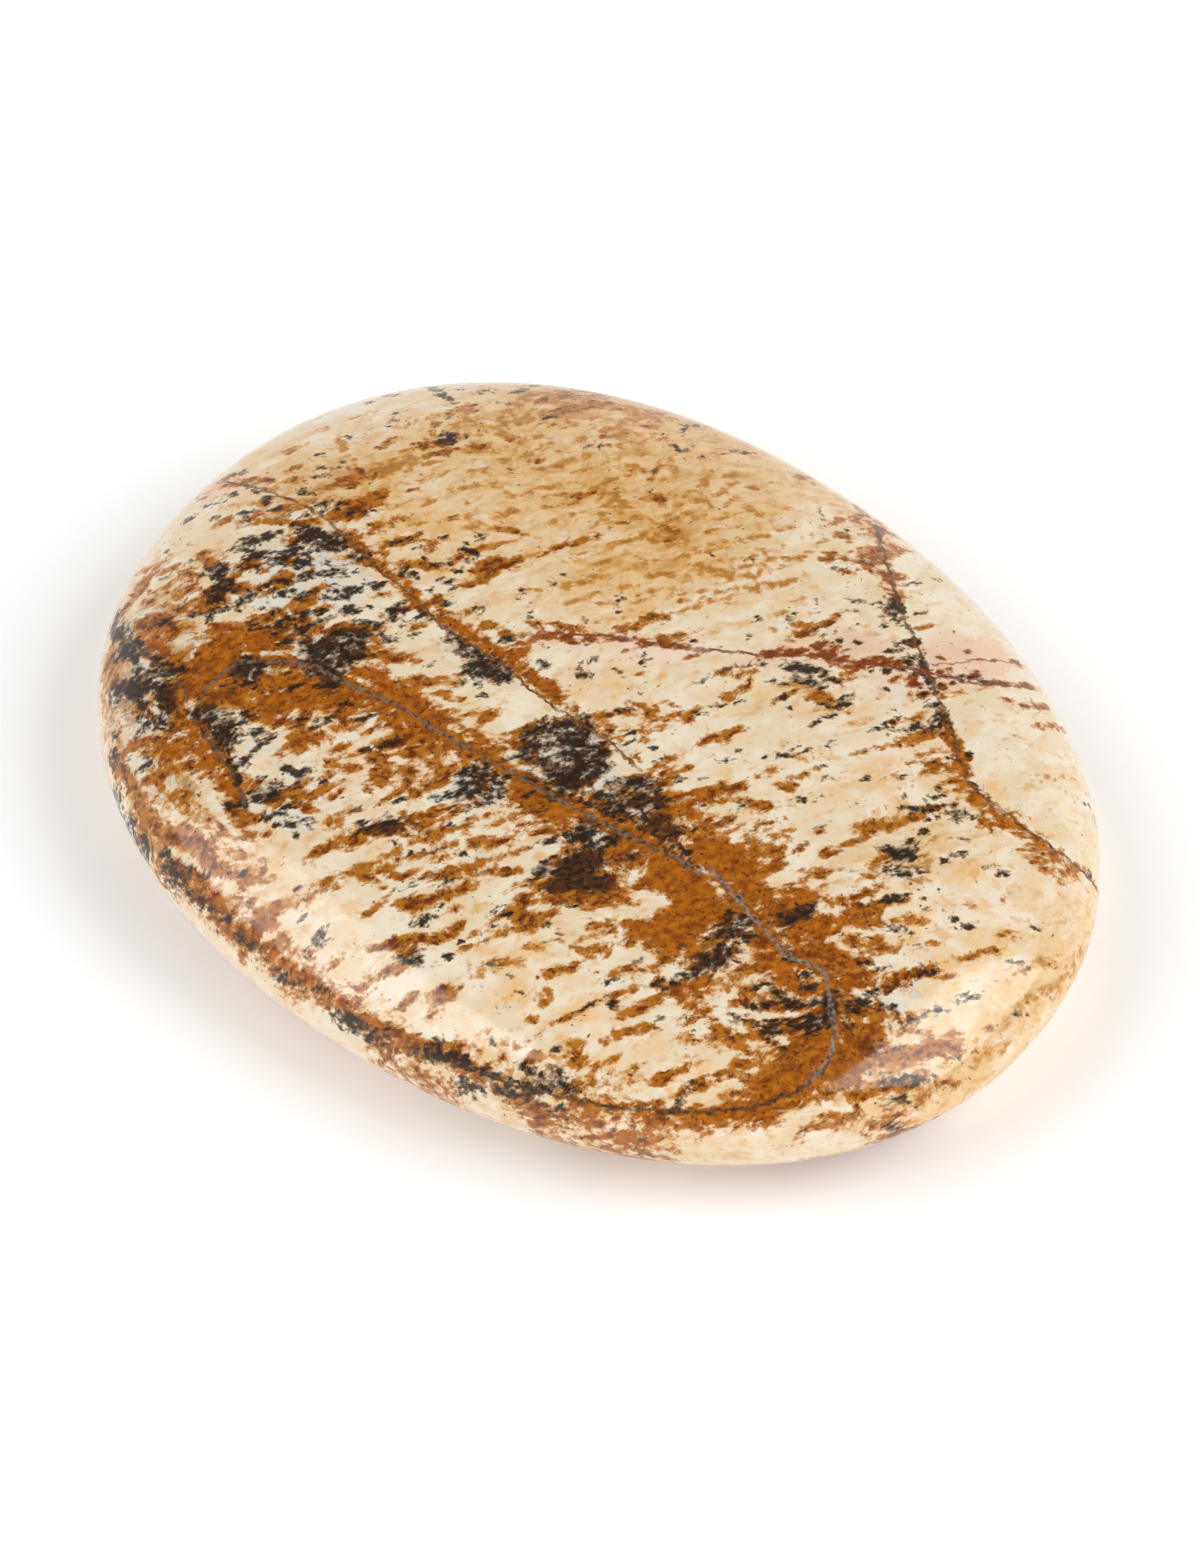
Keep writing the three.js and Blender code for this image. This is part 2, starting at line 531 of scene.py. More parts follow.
# Solid ochre on both sides of the cracks
OCHRE = {}
OCHRE[1] = [
    (-14.7, -8.9, 1.5, 1.55), (-14.6, -7.6, 1.8, 1.65, 80), (-14.7, -8.5, 3.2, 1.45, 85),
    (8.8, -2.75, 3.4, 1.7, 0), (8.6, -4.9, 4.4, 1.7, 0), (9.3, -6.1, 2.5, 1.8), (16.9, -7.7, 3.6, 1.7, 84),
]
OCHRE[0.97] = [
    (-6.3, -4.6, 4.6, 1.2, 0), (-6.3, -.4, 4.8, .7, -3), (-2.6, -.5, 2.3, .85, 0),
    (1.2, -5.45, 3.6, 1.05, 0), (8.2, -3.4, 2, .8, 0), (10.5, -3.2, 2, 1, -5), (7.4, -5.2, 1.6, 1, 40),
    (8.4, -7.5, 2, 1, 40), (9.4, -7.4, 1.5, 1.3, 50), (12, -9, 2.9, .6, -5), (14.9, -3.6, 2.4, 1, 10),
    (18, -5.6, 1.7, 1.3), (18.3, -6.8, 1.9, 1.6, 80), (16.5, -9.7, 2.2, 1.4, 65),
    (12.2, 8.2, 1.9, .6, -35), (13.2, 7.5, 1.6, .7, -40), (15.8, 5.8, .95, .6, 20),
]
OCHRE[0.95] = [
    (-14.4, -6.3, 3.4, 1.45, 15), (-10.6, -7.1, 4, 2.2, 20), (-9.8, -.3, 1.2, .65, -10),
    (-13.6, -10.95, 1.6, .75, 20), (11.7, -3.4, 1.6, .9, -10), (6.7, -4.5, 1.5, .6, 0),
    (12.4, -2.2, 1.5, .9), (13.4, -3.3, 1.6, 1.1, 50), (14.5, -1.5, 1.5, 1.2), (14, -2.7, 1.4, .9, 55),
    (16.1, -4.3, 1.5, .9, 20), (14.5, -5.6, 2.2, 1, 20), (17.7, -8.7, 1.8, .6, 75),
    (15.9, -11.2, 2.2, .8, 48), (14.9, -12.2, 1.8, .8, 42), (14.6, 6.5, 1.5, .6, -10),
]
OCHRE[0.9] = [
    (-12.9, -8.5, 1.6, 1.3, 70), (-17, -8.35, 2.4, .45, -5), (-13.2, -5.6, 1.8, 1.2, 30),
    (-17.2, -8.2, 2.6, .6, -15), (-13.1, -8.8, 1.8, 1.1, 85), (-9.2, -6, 2.6, 1.3, 10),
    (-5.9, -5.7, 5, 1, 0), (-8.7, -4.6, 1.6, 1.1, 30), (-4.5, 0, 1.3, 1), (-11.2, .1, 2.2, .45, -5),
    (-11.2, -11.5, 4.6, 1.1, -25), (-8.6, -8.6, 1.5, 1, 50), (-2.9, -4.35, 1.4, .75, 5),
    (-3.1, -5.3, 1.3, .7, 10), (5.8, -3.6, 1.5, 1.4), (5.9, -5.2, .8, .8, 0), (-2.6, -9.2, 1, .8),
    (6.2, -.9, 1.4, .8, 40), (6.4, -1.75, 1.5, .8, 20), (10.4, -1.9, 1.3, .8, 70), (9.6, -1.7, .9, .7),
    (6.9, -5.7, 1.5, .6), (6.9, -6.95, .9, .5, 40), (10, -6.9, 1.2, .9), (11.6, -8.2, 1.6, .8, 50),
    (11.9, -2.4, 1.1, .55, 50), (12.1, -3.8, 1.1, .6, 70), (13.5, -4.1, 1.8, .5, -10),
    (13.4, -5.4, 1.6, .9, 20), (13.5, -13.1, 1.8, .7, 42), (11.9, -13.9, 2, .45, 32),
    (12.9, -14.2, 2.2, .4, 30), (17, -5, 1.2, .9), (18.2, -4.9, 1, .7), (16.9, -10.3, 1.6, .8),
    (16.6, -3.6, 1, .8), (-16.2, 3.1, 1.5, .6, 45), (-13.6, 1.5, 1.2, .5, 50), (3.6, 14, 1.2, .8),
    (4.4, 13.5, 1.4, .4, 0), (4.8, 13.9, .8, .45, 30), (1.2, 15.5, 1.4, .3, 80), (1.7, 15.9, .9, .4, 50),
    (2.35, 15.1, 1.3, .4, 88), (12.6, 6.75, 1, .5), (12.5, 6.2, .6, .4), (13.4, 6.9, .9, .6, -30),
    (15.6, 6.55, 1, .4, 0), (16.3, 6.3, 1.3, .45, 50), (17.8, 6.55, 1, .4, 80), (18.6, 6.9, 1, .4, 0),
    (17.2, 6.8, 2.4, .25, 2), (18.45, 5.9, .7, .3, 10), (-7, -16.35, 3.2, .5, -4),
    (-4.85, -16.3, 1.4, .6, 80), (-2.2, -16.85, 4.5, .35, -1), (1.2, -16.9, 4, .3, 2),
    (-9.6, -15.95, 2.4, .5, -12), (5.5, -5.2, 1.6, 1.3, 70), (4.9, -4.8, 1, .5, 20),
    (10.6, -5, 1.2, .8, 70),
]
OCHRE[0.85] = [
    (-13.5, -12.3, 1.3, .5, 20), (-8.3, -6.4, 1.6, 1.1), (-12.8, .35, 2.4, .45, -8),
    (-9.4, -12.6, 3, .7, -25), (-8.2, -13.3, 1.6, .55, -20), (-1.5, -.85, .9, .25, 10),
    (6.3, -.4, 1.3, .5, 80), (4.9, -4, 1.8, .8, 20), (4.9, -5.2, 1.1, .8), (3.3, -6, .8, .7),
    (12.7, -5, 1.2, .5, 0), (11.1, -14.8, 2, .4, 27), (11, -4.1, 1.8, .5, -15), (6.5, -3.1, .9, .9),
    (16.1, -6, 1, 1), (15.9, -3.2, 1, .5), (-13.9, .9, 1.4, .4, 30), (-10.9, 2.5, .9, .4),
    (2.6, 15.7, 1.2, .4, -50), (3.9, 14.6, 1, .3, -45), (11.6, 8.6, .9, .4, -40), (6.7, 6.3, 1.3, .55, 10),
    (14.1, 6, .7, .3, -60),
]
OCHRE[0.8] = [
    (-11.4, -8.6, 2.6, 1.2, 10), (-.6, -4.75, 1.4, .3, 0), (5.6, -2.2, 1.6, .8), (2.3, -4.75, 1.6, .3, 5),
    (6.4, -3.9, 1.1, .4, 10), (-13.3, 2.2, 1, .4), (5, 13.1, 1, .3, -40), (4.5, -16.4, 2.5, .25, 8),
    (11.9, -4.9, 1, .5),
]
OCHRE[0.75] = [(-1.9, -16.6, 1.3, .5, 0), (-.6, -16.75, 1.2, .4, 0), (2.5, -16.5, 1.5, .5, 5)]
OCHRE[0.7] = [
    (-12.3, -12, 2.2, 1.45, -10), (.5, -16.55, 1, .5), (1.4, -16.8, 1.2, .4, 0), (-3.5, -16.5, .9, .6, 30),
    (5.4, -2.9, 1.2, .6, 40), (16.9, 6.5, .7, .3, 20),
]
OCHRE[0.6] = [
    (6.2, -2.4, .9, .6, 50), (-15.3, 1.9, 1.4, .9, 75), (6.2, 5.9, .6, .3, 20), (-4.6, -15.5, 1.2, .5, 75),
]
OCHRE[0.5] = [(-15.9, 3.8, 1.2, .6, 50)]
print(f"Ochre has {count(OCHRE)} strokes")

# %% Rust strokes
# Streaks of rust, and the rust that borders the ochre
RUST = {}
RUST[0.99] = [(-8.2, 3.2, 1.6, .9), (-.1, 4.4, .9, .45, 0), (3.8, 6.8, 1.3, .5)]
RUST[0.97] = [
    (-14.7, 2.4, 2.6, .85, 80), (-16.7, -2.8, .9, .85, 70), (-15, -10.1, 1.6, .95, -35),
    (-18.3, -7.1, 1.4, .55, 20), (-9.4, -8.2, 1.1, .7), (-5, -8.4, .9, 1.05, 30),
    (-5.7, -6.6, 1.7, .85, 65), (-6.6, -10.6, 2, .55, 62), (-4.3, -11.8, 1.4, .55, 55),
    (-4.7, -12.5, 1.3, .5, 70), (5.6, -6.8, 1.3, .85), (4.4, -6.7, 2, 1.25), (-3.1, -10.1, 1.5, .85, 50),
    (-1.9, -9, .9, .6), (1.05, -9.2, 1.9, .4), (.2, -10.4, 1.3, .55), (.2, -12.2, 1.2, .65, 50),
    (1.3, -10.5, 1.1, .65), (.8, -11.3, 1.5, .55), (2.2, -12.15, 1, .5, 80), (1.85, -12.8, 1.2, .55),
    (1.05, -13.5, 1.5, .5, 45), (.6, -13.9, 1.2, .55, 50), (3.55, -9.6, 1.2, .65, 70),
    (4.4, -10.15, 1.5, 1), (4.6, -8.35, 1.3, .85), (11.9, .2, .75, .5), (12.5, 2, 1.3, .5, 70),
    (6.9, .3, 1.1, .45), (6.5, -.25, 1.6, .6, 45), (8.35, .2, 1, .55, 50), (7.3, -2, 1.3, .6),
    (6.2, -7.2, 1.7, .8), (7.25, -10.4, .85, .3, 70), (6.6, -11.3, 1.1, .5), (9.35, -10.5, 1.1, .4, 65),
    (10.1, -10.9, 1.1, .5, 40), (10.5, -10.2, 1.2, .5, 65), (10.6, -11.6, 1.3, .35), (13.5, -9.5, 1.3, .4),
    (12.9, -6.2, 1.3, .45), (13.2, -11.6, 1.4, .35, 65), (16.4, -.1, 1.1, .45, 45),
    (15.6, -7.1, 1.5, .7, 40), (14.9, -8.3, 1.3, .4, 10), (14.5, -8.7, 1.4, .45, 40), (15, -9.6, 1, .5),
    (14.8, -10.3, 1.6, .45, 65), (14.25, -11.3, 1.5, .45), (-14.6, 7.1, 1.1, .5), (-14.6, 3.2, .9, .6),
    (-14.9, 2.4, 1.7, .75, 80), (-15.2, 1.5, 1.1, .75), (-10.6, 1.3, 1.8, .5, 25), (-7.9, 8.35, .8, .25),
    (-6.6, 5.85, .9, .35, 50), (-6.9, 5.2, 1, .35, 70), (-7.6, 4.05, .8, .5), (-8.5, 2.6, .9, .6, 50),
    (-8.2, 2.1, .9, .55), (-9.6, 2.6, 1.3, .4), (-1.1, 5.4, .8, .4, 30), (-1.5, 4.9, .7, .35, 10),
    (.3, 5.2, .7, .3), (5.1, 2.6, .9, .35, 75), (4.75, 1.9, .9, .4), (4.3, 7.2, .9, .4, 50),
    (2.3, 12.65, .9, .5, 70), (9.8, 9.2, .9, .35), (9.6, 10.8, .8, .35, 70), (10.6, 11.7, .75, .4, 70),
    (13.25, 12.8, .8, .35, 65), (12.4, 11.7, .5, .3), (14.3, 12.5, .95, .3, 65),
]
RUST[0.95] = [
    (-15.3, 1.3, 1, .7, 40), (-16.5, -5.2, 1.2, .7), (-14.2, -12.1, 1.2, .9, 40),
    (-14.9, -13.35, 1.7, .55, -30), (-10.6, -3, 1, .7, 20), (-7.2, -8.3, 1, .4, 70),
    (-4.6, -6.5, 1.3, 1.05, 50), (3.8, -2.85, 1.3, .5, 50), (5, -1.9, 1.5, .6, 50), (.1, -8.4, .9, .5, 30),
    (5.2, -8, 1.3, .65), (-3.7, -10.8, 1.4, .6), (-1.3, -9.1, .9, .65), (2.1, -8.9, 1.3, .5, 45),
    (-.5, -10, 1, .35, 45), (-2.15, -10.9, 1.3, .35, 70), (-1.65, -11, .9, .35), (-2.7, -12.3, 1, .65, 40),
    (-1.2, -13.3, 1, .35, 75), (-3.5, -13.3, 1.1, .4), (3.5, -14.6, 1.1, .75), (7.45, 1.8, 1, .25, 70),
    (8.7, 1.85, .7, .45), (7.9, .15, .9, .35, 20), (10.8, -.45, .8, .35, 70), (12.2, -1, .9, .35),
    (7.6, -1.3, .8, .4), (10.1, -1.1, .8, .5), (12.8, -2.9, 1.6, .8, 70), (9.7, -8.7, 1, .35),
    (7.5, -9.3, .8, .4), (11.1, -10.9, .9, .4, 40), (12.3, -9.6, .7, .35), (12.6, -7.2, 1.5, .3, 70),
    (13.4, -7.7, 1.3, .35), (12.85, -12.1, .9, .4, 55), (14.3, -.25, 1.3, .35, 68),
    (14.9, -.9, 1.2, .7, 50), (15.4, -1.2, .9, .5, 50), (15.1, -2.6, 1.1, .45), (16.3, -2.1, 1.3, .4),
    (19.4, -8.3, 1, .3), (18.5, -9.6, .8, .25, 65), (-15.1, 6.6, .9, .35, 30), (-16.4, 5.6, .6, .3),
    (-12.2, 1.8, 1.3, .45, 50), (-8.4, 8.05, .9, .2, 40), (-6.1, 6.5, .9, .3), (-8.8, 5.1, 1, .3, 25),
    (-11.4, 3.8, .55, .25), (-8.6, 1.6, .8, .4, 30), (-9.3, 3.4, 1.1, .3, 65), (-4.9, 1.75, .8, .35, 25),
    (-1.5, 4.3, 1.5, .3, 55), (.1, 4.9, .6, .3), (4.5, 1.35, .9, .3, 70), (2.7, 1.6, 1, .35, 65),
    (4.05, 8.3, .9, .5, 70), (4.5, 9.6, 1.3, .35, 75), (2.9, 4.8, .9, .25, 65), (1.8, 14.2, .6, .35),
    (3.2, 14.5, .9, .4, 80), (3, 13.2, 1.3, .25, 25), (3.35, 12.65, .7, .2), (1.35, 11.7, .4, .25),
    (13.1, 12.3, .5, .25), (11.2, 7.6, 1.2, .6, 50), (11, 7.1, 1, .35, 45), (10.7, 6.5, .8, .35, 55),
    (8.7, 2.7, .9, .25), (12.3, 2.45, 1.2, .4), (19.2, 6.4, .9, .35, 40), (-17, -5.1, 1.6, .9),
    (-17.9, -7.3, 1.2, .6, 20), (17.6, -4.6, 1.6, .5, 75), (14.9, -3.9, 2, .9, 15),
    (16.6, -7.9, 1.8, .8, 75), (15.8, -7.3, 1.6, .5, 50), (10.9, -6.2, 2, .7, 75), (-5.05, -17, .5, .4),
    (8.8, -15.75, 1.2, .35, 18),
]
RUST[0.9] = [
    (-16.2, .2, 1, .4, 50), (-16, -.95, .7, .55, -30), (-14.9, -2.7, 1.1, .95, 70), (-13.3, -2.4, .9, .6),
    (-13.4, -3.4, 1.4, .85, 70), (-15.6, -3.7, 1, .55, 40), (-18.4, -3.6, 1, .45, 0),
    (-13.9, -4.6, 1.2, .7, 70), (-17.2, -7.2, .5, .95), (-17.5, -8.7, 2.2, .4, -10),
    (-16.2, -8.9, 1.2, .45, 10), (-14.2, -10.4, .9, .6, -10), (-12.9, -10.4, 1.4, .45, 0),
    (-13.2, -7.2, 1.2, .7), (-17.2, -7.35, .9, .55), (-16.6, -7, .8, .45, 30), (-16, -8.4, .8, .45, 70),
    (-15.7, -7.9, .9, .3), (-13.4, -11.6, 1.1, .6, 30), (-15, -12.3, .9, .6, 20), (-15.3, -12.8, .8, .4),
    (-13.2, -12.8, .9, .4, 50), (-13.8, -13.9, 1.3, .45, -30), (-12.7, -14.5, 2.2, .6, -35),
    (-9, .1, .7, .6), (-6.4, .35, 1.2, .55, 50), (-4.7, .6, 1, .4, 50), (-11.2, -3.4, .9, .7),
    (-9.4, -3.7, 1.1, .95), (-8.2, -3.2, 1.4, .55, 50), (-6.2, -3.2, 1.6, .35), (-5.5, -2.8, .7, .3),
    (-3.9, -3.5, 1.4, .4, 50), (-5.2, -3.5, .35, .25, 0), (-7.1, -3.7, 1.1, .55, 50), (-6.9, -9, .7, .55),
    (-6.3, -8.8, 1, .4, 40), (-4.6, -7.8, .9, .4), (-3.95, -8.6, 1.2, .25, 80), (-7.5, -7, 1.1, .45),
    (-4.2, -7.4, .9, .6), (-5.6, -7.6, 1, .6), (-6.4, -7.9, 1, .35), (-5.2, -7.9, .9, .35),
    (-8, -7.6, .7, .35), (-6.4, -6.2, .9, .4, 50), (-3.9, -7.9, .9, .3), (-9, -9.3, .6, .3),
    (-5.9, -10.1, .7, .4), (-7.3, -10.3, 1, .35), (-5.1, -11.2, .9, .6), (-4.9, -10.4, .9, .35),
    (-4, -11.3, .9, .4), (-7.6, -11.2, .9, .55, 50), (-7.8, -11.8, .9, .6), (-7, -12.95, .7, .35),
    (-6.4, -11.3, .7, .3, 20), (-11.5, -13.5, 1.3, .75, 40), (-11.6, -14.85, 1.7, .4, -30),
    (-10.2, -14.75, 1.5, .95, -10), (-9.1, -14.95, 1.7, .65, -10), (-8.1, -15.15, 1.5, .55, -5),
    (-6.5, -15.8, .7, .4), (-5.9, -15.7, .5, .4), (-9.2, -15.85, 2.4, .4, -8), (-7.5, -16.2, 1.8, .55, 0),
    (-5, -16.3, .8, .6, 80), (-3.8, -16.4, .9, .45, 70), (1.4, .75, 1.2, .3, 35), (1.9, 1, .6, .4),
    (1, -.5, .6, .3), (.9, -.95, .6, .3), (1.4, -.35, .65, .35), (1.45, -.85, .6, .3),
    (4.55, -.45, 1.3, .4), (-1.6, -2.8, 1.7, .55, 70), (-1.4, -3.5, 1, .65, 40), (1.6, -1.6, .8, .5),
    (1.85, -3.5, .9, .55), (3.4, -1.7, 1.1, .4), (4.4, -1.4, 1.1, .55), (3.2, -3.75, 1.3, .55, 0),
    (2.6, -4.1, 1.7, .6, 10), (4.2, -3.9, 1.7, .6, 20), (5.6, -2.7, 1, .65, 50), (5.5, -3.3, 1, .85),
    (-.9, -6.8, 1.1, .55), (-1.3, -6.15, .7, .4), (-2.6, -5.6, .6, .5), (-3, -6.4, .9, .65, 50),
    (-2.9, -6.95, 1.4, .6, 50), (-3.1, -7.7, 1.3, .4, 50), (-1.4, -7.9, 1.1, .4, 70),
    (-3.3, -8.2, .9, .55, 50), (.8, -6.4, 1.5, .3), (.4, -7.1, .8, .3), (1.5, -6.3, 1, .4),
    (2.1, -6.4, 1.1, .3), (1.2, -7.6, 1.1, .3, 70), (1.9, -7.75, .8, .35), (.9, -8, 1.5, .35, 45),
    (5.8, -7.5, 1.1, .75), (3.5, -6.8, 1.3, .55, 70), (4.5, -6, 1.5, .95, 40), (5, -7.2, 1.6, .95),
    (4.4, -8, 1.2, .65), (5.9, -6.1, .8, .55), (-3.95, -8.5, 1, .16, 80), (-3.6, -11.4, .9, .4),
    (-2, -8.35, 1.3, .4), (-1.6, -9.55, .9, .55, 20), (.65, -9.8, 1, .35), (3.1, -8.9, 1, .3),
    (3.5, -8.3, 1, .4), (-1.2, -10.3, 1.1, .3, 50), (-1.9, -10.8, .6, .3, 20), (-2.35, -11.55, .6, .2),
    (-1, -11.35, .8, .3, 70), (-1.5, -11.75, .9, .3, 20), (-1.75, -11.4, .6, .25),
    (-2, -11.85, .7, .3, 20), (-2.5, -12.65, .5, .3, 0), (-.35, -12.45, 1.1, .4), (.35, -11.9, .9, .4),
    (1.55, -11.5, .55, .4), (.1, -14.4, 1, .3, 40), (1.2, -14, .9, .4, 50), (3, -12.7, .7, .2),
    (3.9, -10.1, .9, .85), (3.9, -8.45, 1.1, .55), (3.1, -11.6, .6, .17), (4.8, -12.1, 1, .35, 30),
    (4.9, -16.2, 2.2, .75, 14), (8.25, 1.65, .6, .35), (8.45, 2.3, .45, .2, 20), (11, .8, .45, .3),
    (12.2, 1, 1.3, .3, 70), (13.9, 1.4, .8, .4, 65), (13.85, .5, .9, .35, 65), (7.05, -.4, .9, .2, 65),
    (8.8, -.5, .6, .35), (9.3, -.6, .55, .3), (9.9, -.25, .65, .3), (10.1, -.65, .5, .25),
    (12.15, -.6, .45, .25), (12.5, -.5, .5, .2), (11.7, -1.2, .7, .4), (12.7, -1.4, .7, .3),
    (11.95, -1.7, .7, .4), (8.2, -1.2, .8, .17, 65), (9.2, -1.3, .9, .4, 70), (6.8, -8.45, 1, .35, 50),
    (6.5, -8.55, .5, .2, 0), (7, -8.9, .7, .2), (8.25, -8.3, .9, .45), (9.9, -7.9, .9, .6),
    (10.6, -9, 1.3, .4, 40), (10.9, -9.3, .8, .4), (9.3, -9.15, .7, .3), (8.8, -9.6, .9, .35),
    (7.1, -9.7, .6, .25), (7.6, -9.85, .7, .2), (6.5, -9.9, .8, .15, 20), (6.85, -12.2, .45, .25),
    (7.15, -12.5, .6, .4), (8.25, -12.55, .9, .14), (7.2, -13.4, .65, .4, 10), (9.2, -13.3, .8, .6, 30),
    (9.7, -13.6, .8, .5, 30), (8.2, -14.4, .9, .35, 50), (10.8, -12.8, .8, .3, 70),
    (11.8, -13.05, .6, .25), (10.3, -14.1, .9, .35, 45), (10.7, -9.7, .9, .35), (10.2, -12.2, .7, .3),
    (12.7, -10.3, .4, .2), (13.2, -9.9, .7, .2, 20), (13.3, -6.9, 1.1, .35, 65),
    (10.4, -14.7, 1.7, .45, 20), (12.2, -4.7, .7, .35, 0), (13.95, -.9, .9, .25, 70),
    (15.8, -2.05, 1.3, .4), (16.6, -3.4, 1, .5, 70), (13.4, 3.8, 1.3, .3, 65), (13, 2.9, 1.3, .4),
    (13.7, 1.6, 1.1, .35, 75), (20.4, -3.6, 1.3, .6, 50), (21.1, -3.2, .8, .3, 65), (20, -6.2, 1.5, .35),
    (19.4, -7.1, .9, .2), (19.35, -7.7, .35, .2, 20), (18.8, -8.8, .8, .25, 50), (15.2, -6.4, 1.3, .5, 40),
    (14.2, -9.1, .8, .35), (15.6, -10.7, 1, .2, 50), (14.6, -7.9, .9, .25, 30), (18.4, 3.4, .28, .18, 0),
    (-15, 10.2, .8, .35, 50), (-15.45, 7.6, 1, .25, -70), (-14, 6.9, .8, .45, 50), (-14.4, 6.3, .8, .4),
    (-15.5, 6, .5, .3), (-16.4, 6.1, .6, .25), (-13.6, 4.3, .5, .35), (-19.7, 3.6, 1.1, .3),
    (-16.5, 3.8, .55, .25, 10), (-16.6, 2.6, 1, .4, 50), (-11.8, 2.3, .7, .3), (-12.6, 1.2, .9, .35, 40),
    (-10.6, 8.8, .5, .3), (-7.6, 8.85, .35, .2), (-7.8, 8, .4, .16), (-9.3, 4.7, .6, .25),
    (-9.9, 5.3, .45, .18), (-8.9, 3.9, 1, .2), (-7.7, 3.3, .7, .4), (-8, 2.7, .6, .3),
    (-3.3, 3.15, .5, .35, -40), (-3.7, 2.4, 1.1, .4, 30), (-3.6, 1.95, 1.3, .3, 30),
    (-4.4, 1.3, 1.6, .2, 30), (-5.3, 10.4, .9, .35, 50), (-4.9, 10.3, .4, .2), (-8.4, 11.85, .4, .2, 10),
    (-6.35, 11.8, .9, .2, -75), (-1.9, 3.9, .7, .3), (.5, 4.6, .9, .2, 35), (1.3, 4.5, .55, .16),
    (-1.1, 3.7, 1.4, .2, 30), (-.8, 3.4, .7, .2), (-1.8, 3.3, 1, .25, 50), (-2.3, 2.9, .7, .3),
    (-3, 2.6, 1.1, .2, 25), (-3.3, 2, .9, .3, 20), (1.4, 1.15, 1, .3, 20), (3.1, 2.2, .9, .3, 70),
    (3.2, 1.8, .5, .35), (4.7, 7.8, 1.5, .35, 50), (4.2, 9.1, .5, .3), (5, 8.45, .8, .3),
    (5.5, 8, 1.4, .3, 20), (5.7, 8.6, .7, .4), (4, 8.8, .9, .35, 20), (3.6, 5.3, .7, .3),
    (3.3, 4.85, .9, .2, 20), (3.9, 4.3, 1.2, .35, 65), (-1.9, 16.4, .9, .45, 70), (.9, 16.7, .8, .4, -20),
    (1.4, 16.3, .45, .35), (2.4, 16.3, 1.8, .4, -40), (3.5, 14.9, .5, .25), (3.6, 15.6, .6, .2),
    (5.8, 12.9, .9, .45, -60), (-.1, 10.35, .4, .2), (-.8, 6.7, .45, .2), (7.3, 9.3, 1.2, .4, 50),
    (8.1, 9.9, .9, .45), (7.6, 9.6, .7, .4), (8.9, 9.6, .9, .45), (9.3, 9.5, .7, .4), (8.6, 9.2, .5, .35),
    (10.2, 10.2, .8, .3), (7.1, 8.6, 1.2, .35), (5.4, 8.3, .8, .35, 50), (6.9, 7.6, .9, .3),
    (6.5, 8.2, .8, .25, 30), (6.25, 11.3, .35, .2), (7.8, 11.2, .7, .4), (9.6, 12.6, .35, .2),
    (11.5, 12.2, .6, .2), (12.3, 13.4, .9, .35, 70), (11.2, 14.3, .6, .4), (13.35, 13.2, .35, .2),
    (10.3, 5.95, .6, .3), (10, 7.4, .7, .3), (10.6, 8.1, .8, .3), (9.8, 5, .45, .2), (12.9, 3, .9, .3, 50),
    (13.4, 3.7, 1.1, .35, 65), (13.6, 4.6, .8, .35), (5.3, 7.9, .7, .25), (18.6, 6.3, 1, .3, 30),
    (19.4, 7.3, .9, .25, 50), (19.1, 6.8, .8, .25, 10), (16.2, 7.2, .2, .35, 0), (16.5, 7.25, .17, .35, 0),
    (16.85, 7.3, .16, .45, 0), (14.15, 11.9, .35, .14), (-18.9, -3.5, .9, .5), (-18.8, -4.5, .9, .35, 70),
    (-16.9, -3.9, 1, .5), (-18.7, -7.6, .9, .4, 20), (-17.2, -7.8, 1, .4, 30), (-13.2, -4.5, 1.6, .6),
    (-12.2, -4.2, 1.2, .5), (16.4, -1.9, 1.4, .4), (15.7, -5.1, 1.6, .6, 30), (14.5, -7, 1.8, .4, 35),
    (12.5, -4.7, 1.2, .5), (-15, -8.3, 1.6, .45), (18.3, -5.5, 1.8, 1), (11.6, -6.3, 2.2, .45, 62),
    (10.7, -7.2, 1.2, .6, 75), (11.3, -7.4, 1.2, .5), (-15.9, -.7, 1.2, .5), (-13.4, .5, 2, .3, -14),
    (-11.6, -.05, 2, .3, -14), (-9.6, -.5, 1.6, .35, -8), (-14.9, -3.4, 1.2, .45, 65),
    (-2.9, -7.2, 1.2, .45, 70), (-1.6, -5.9, 1.2, .45, 70), (-3.6, -6.4, 1, .4),
    (-7.9, -16.25, 1.3, .35, -8), (-6.3, -16.75, 1, .3, -5), (2.3, -17.25, 1, .25, 2),
    (4.15, -17.1, 1.1, .3, 8), (9.5, -15.75, .9, .35, 20),
]
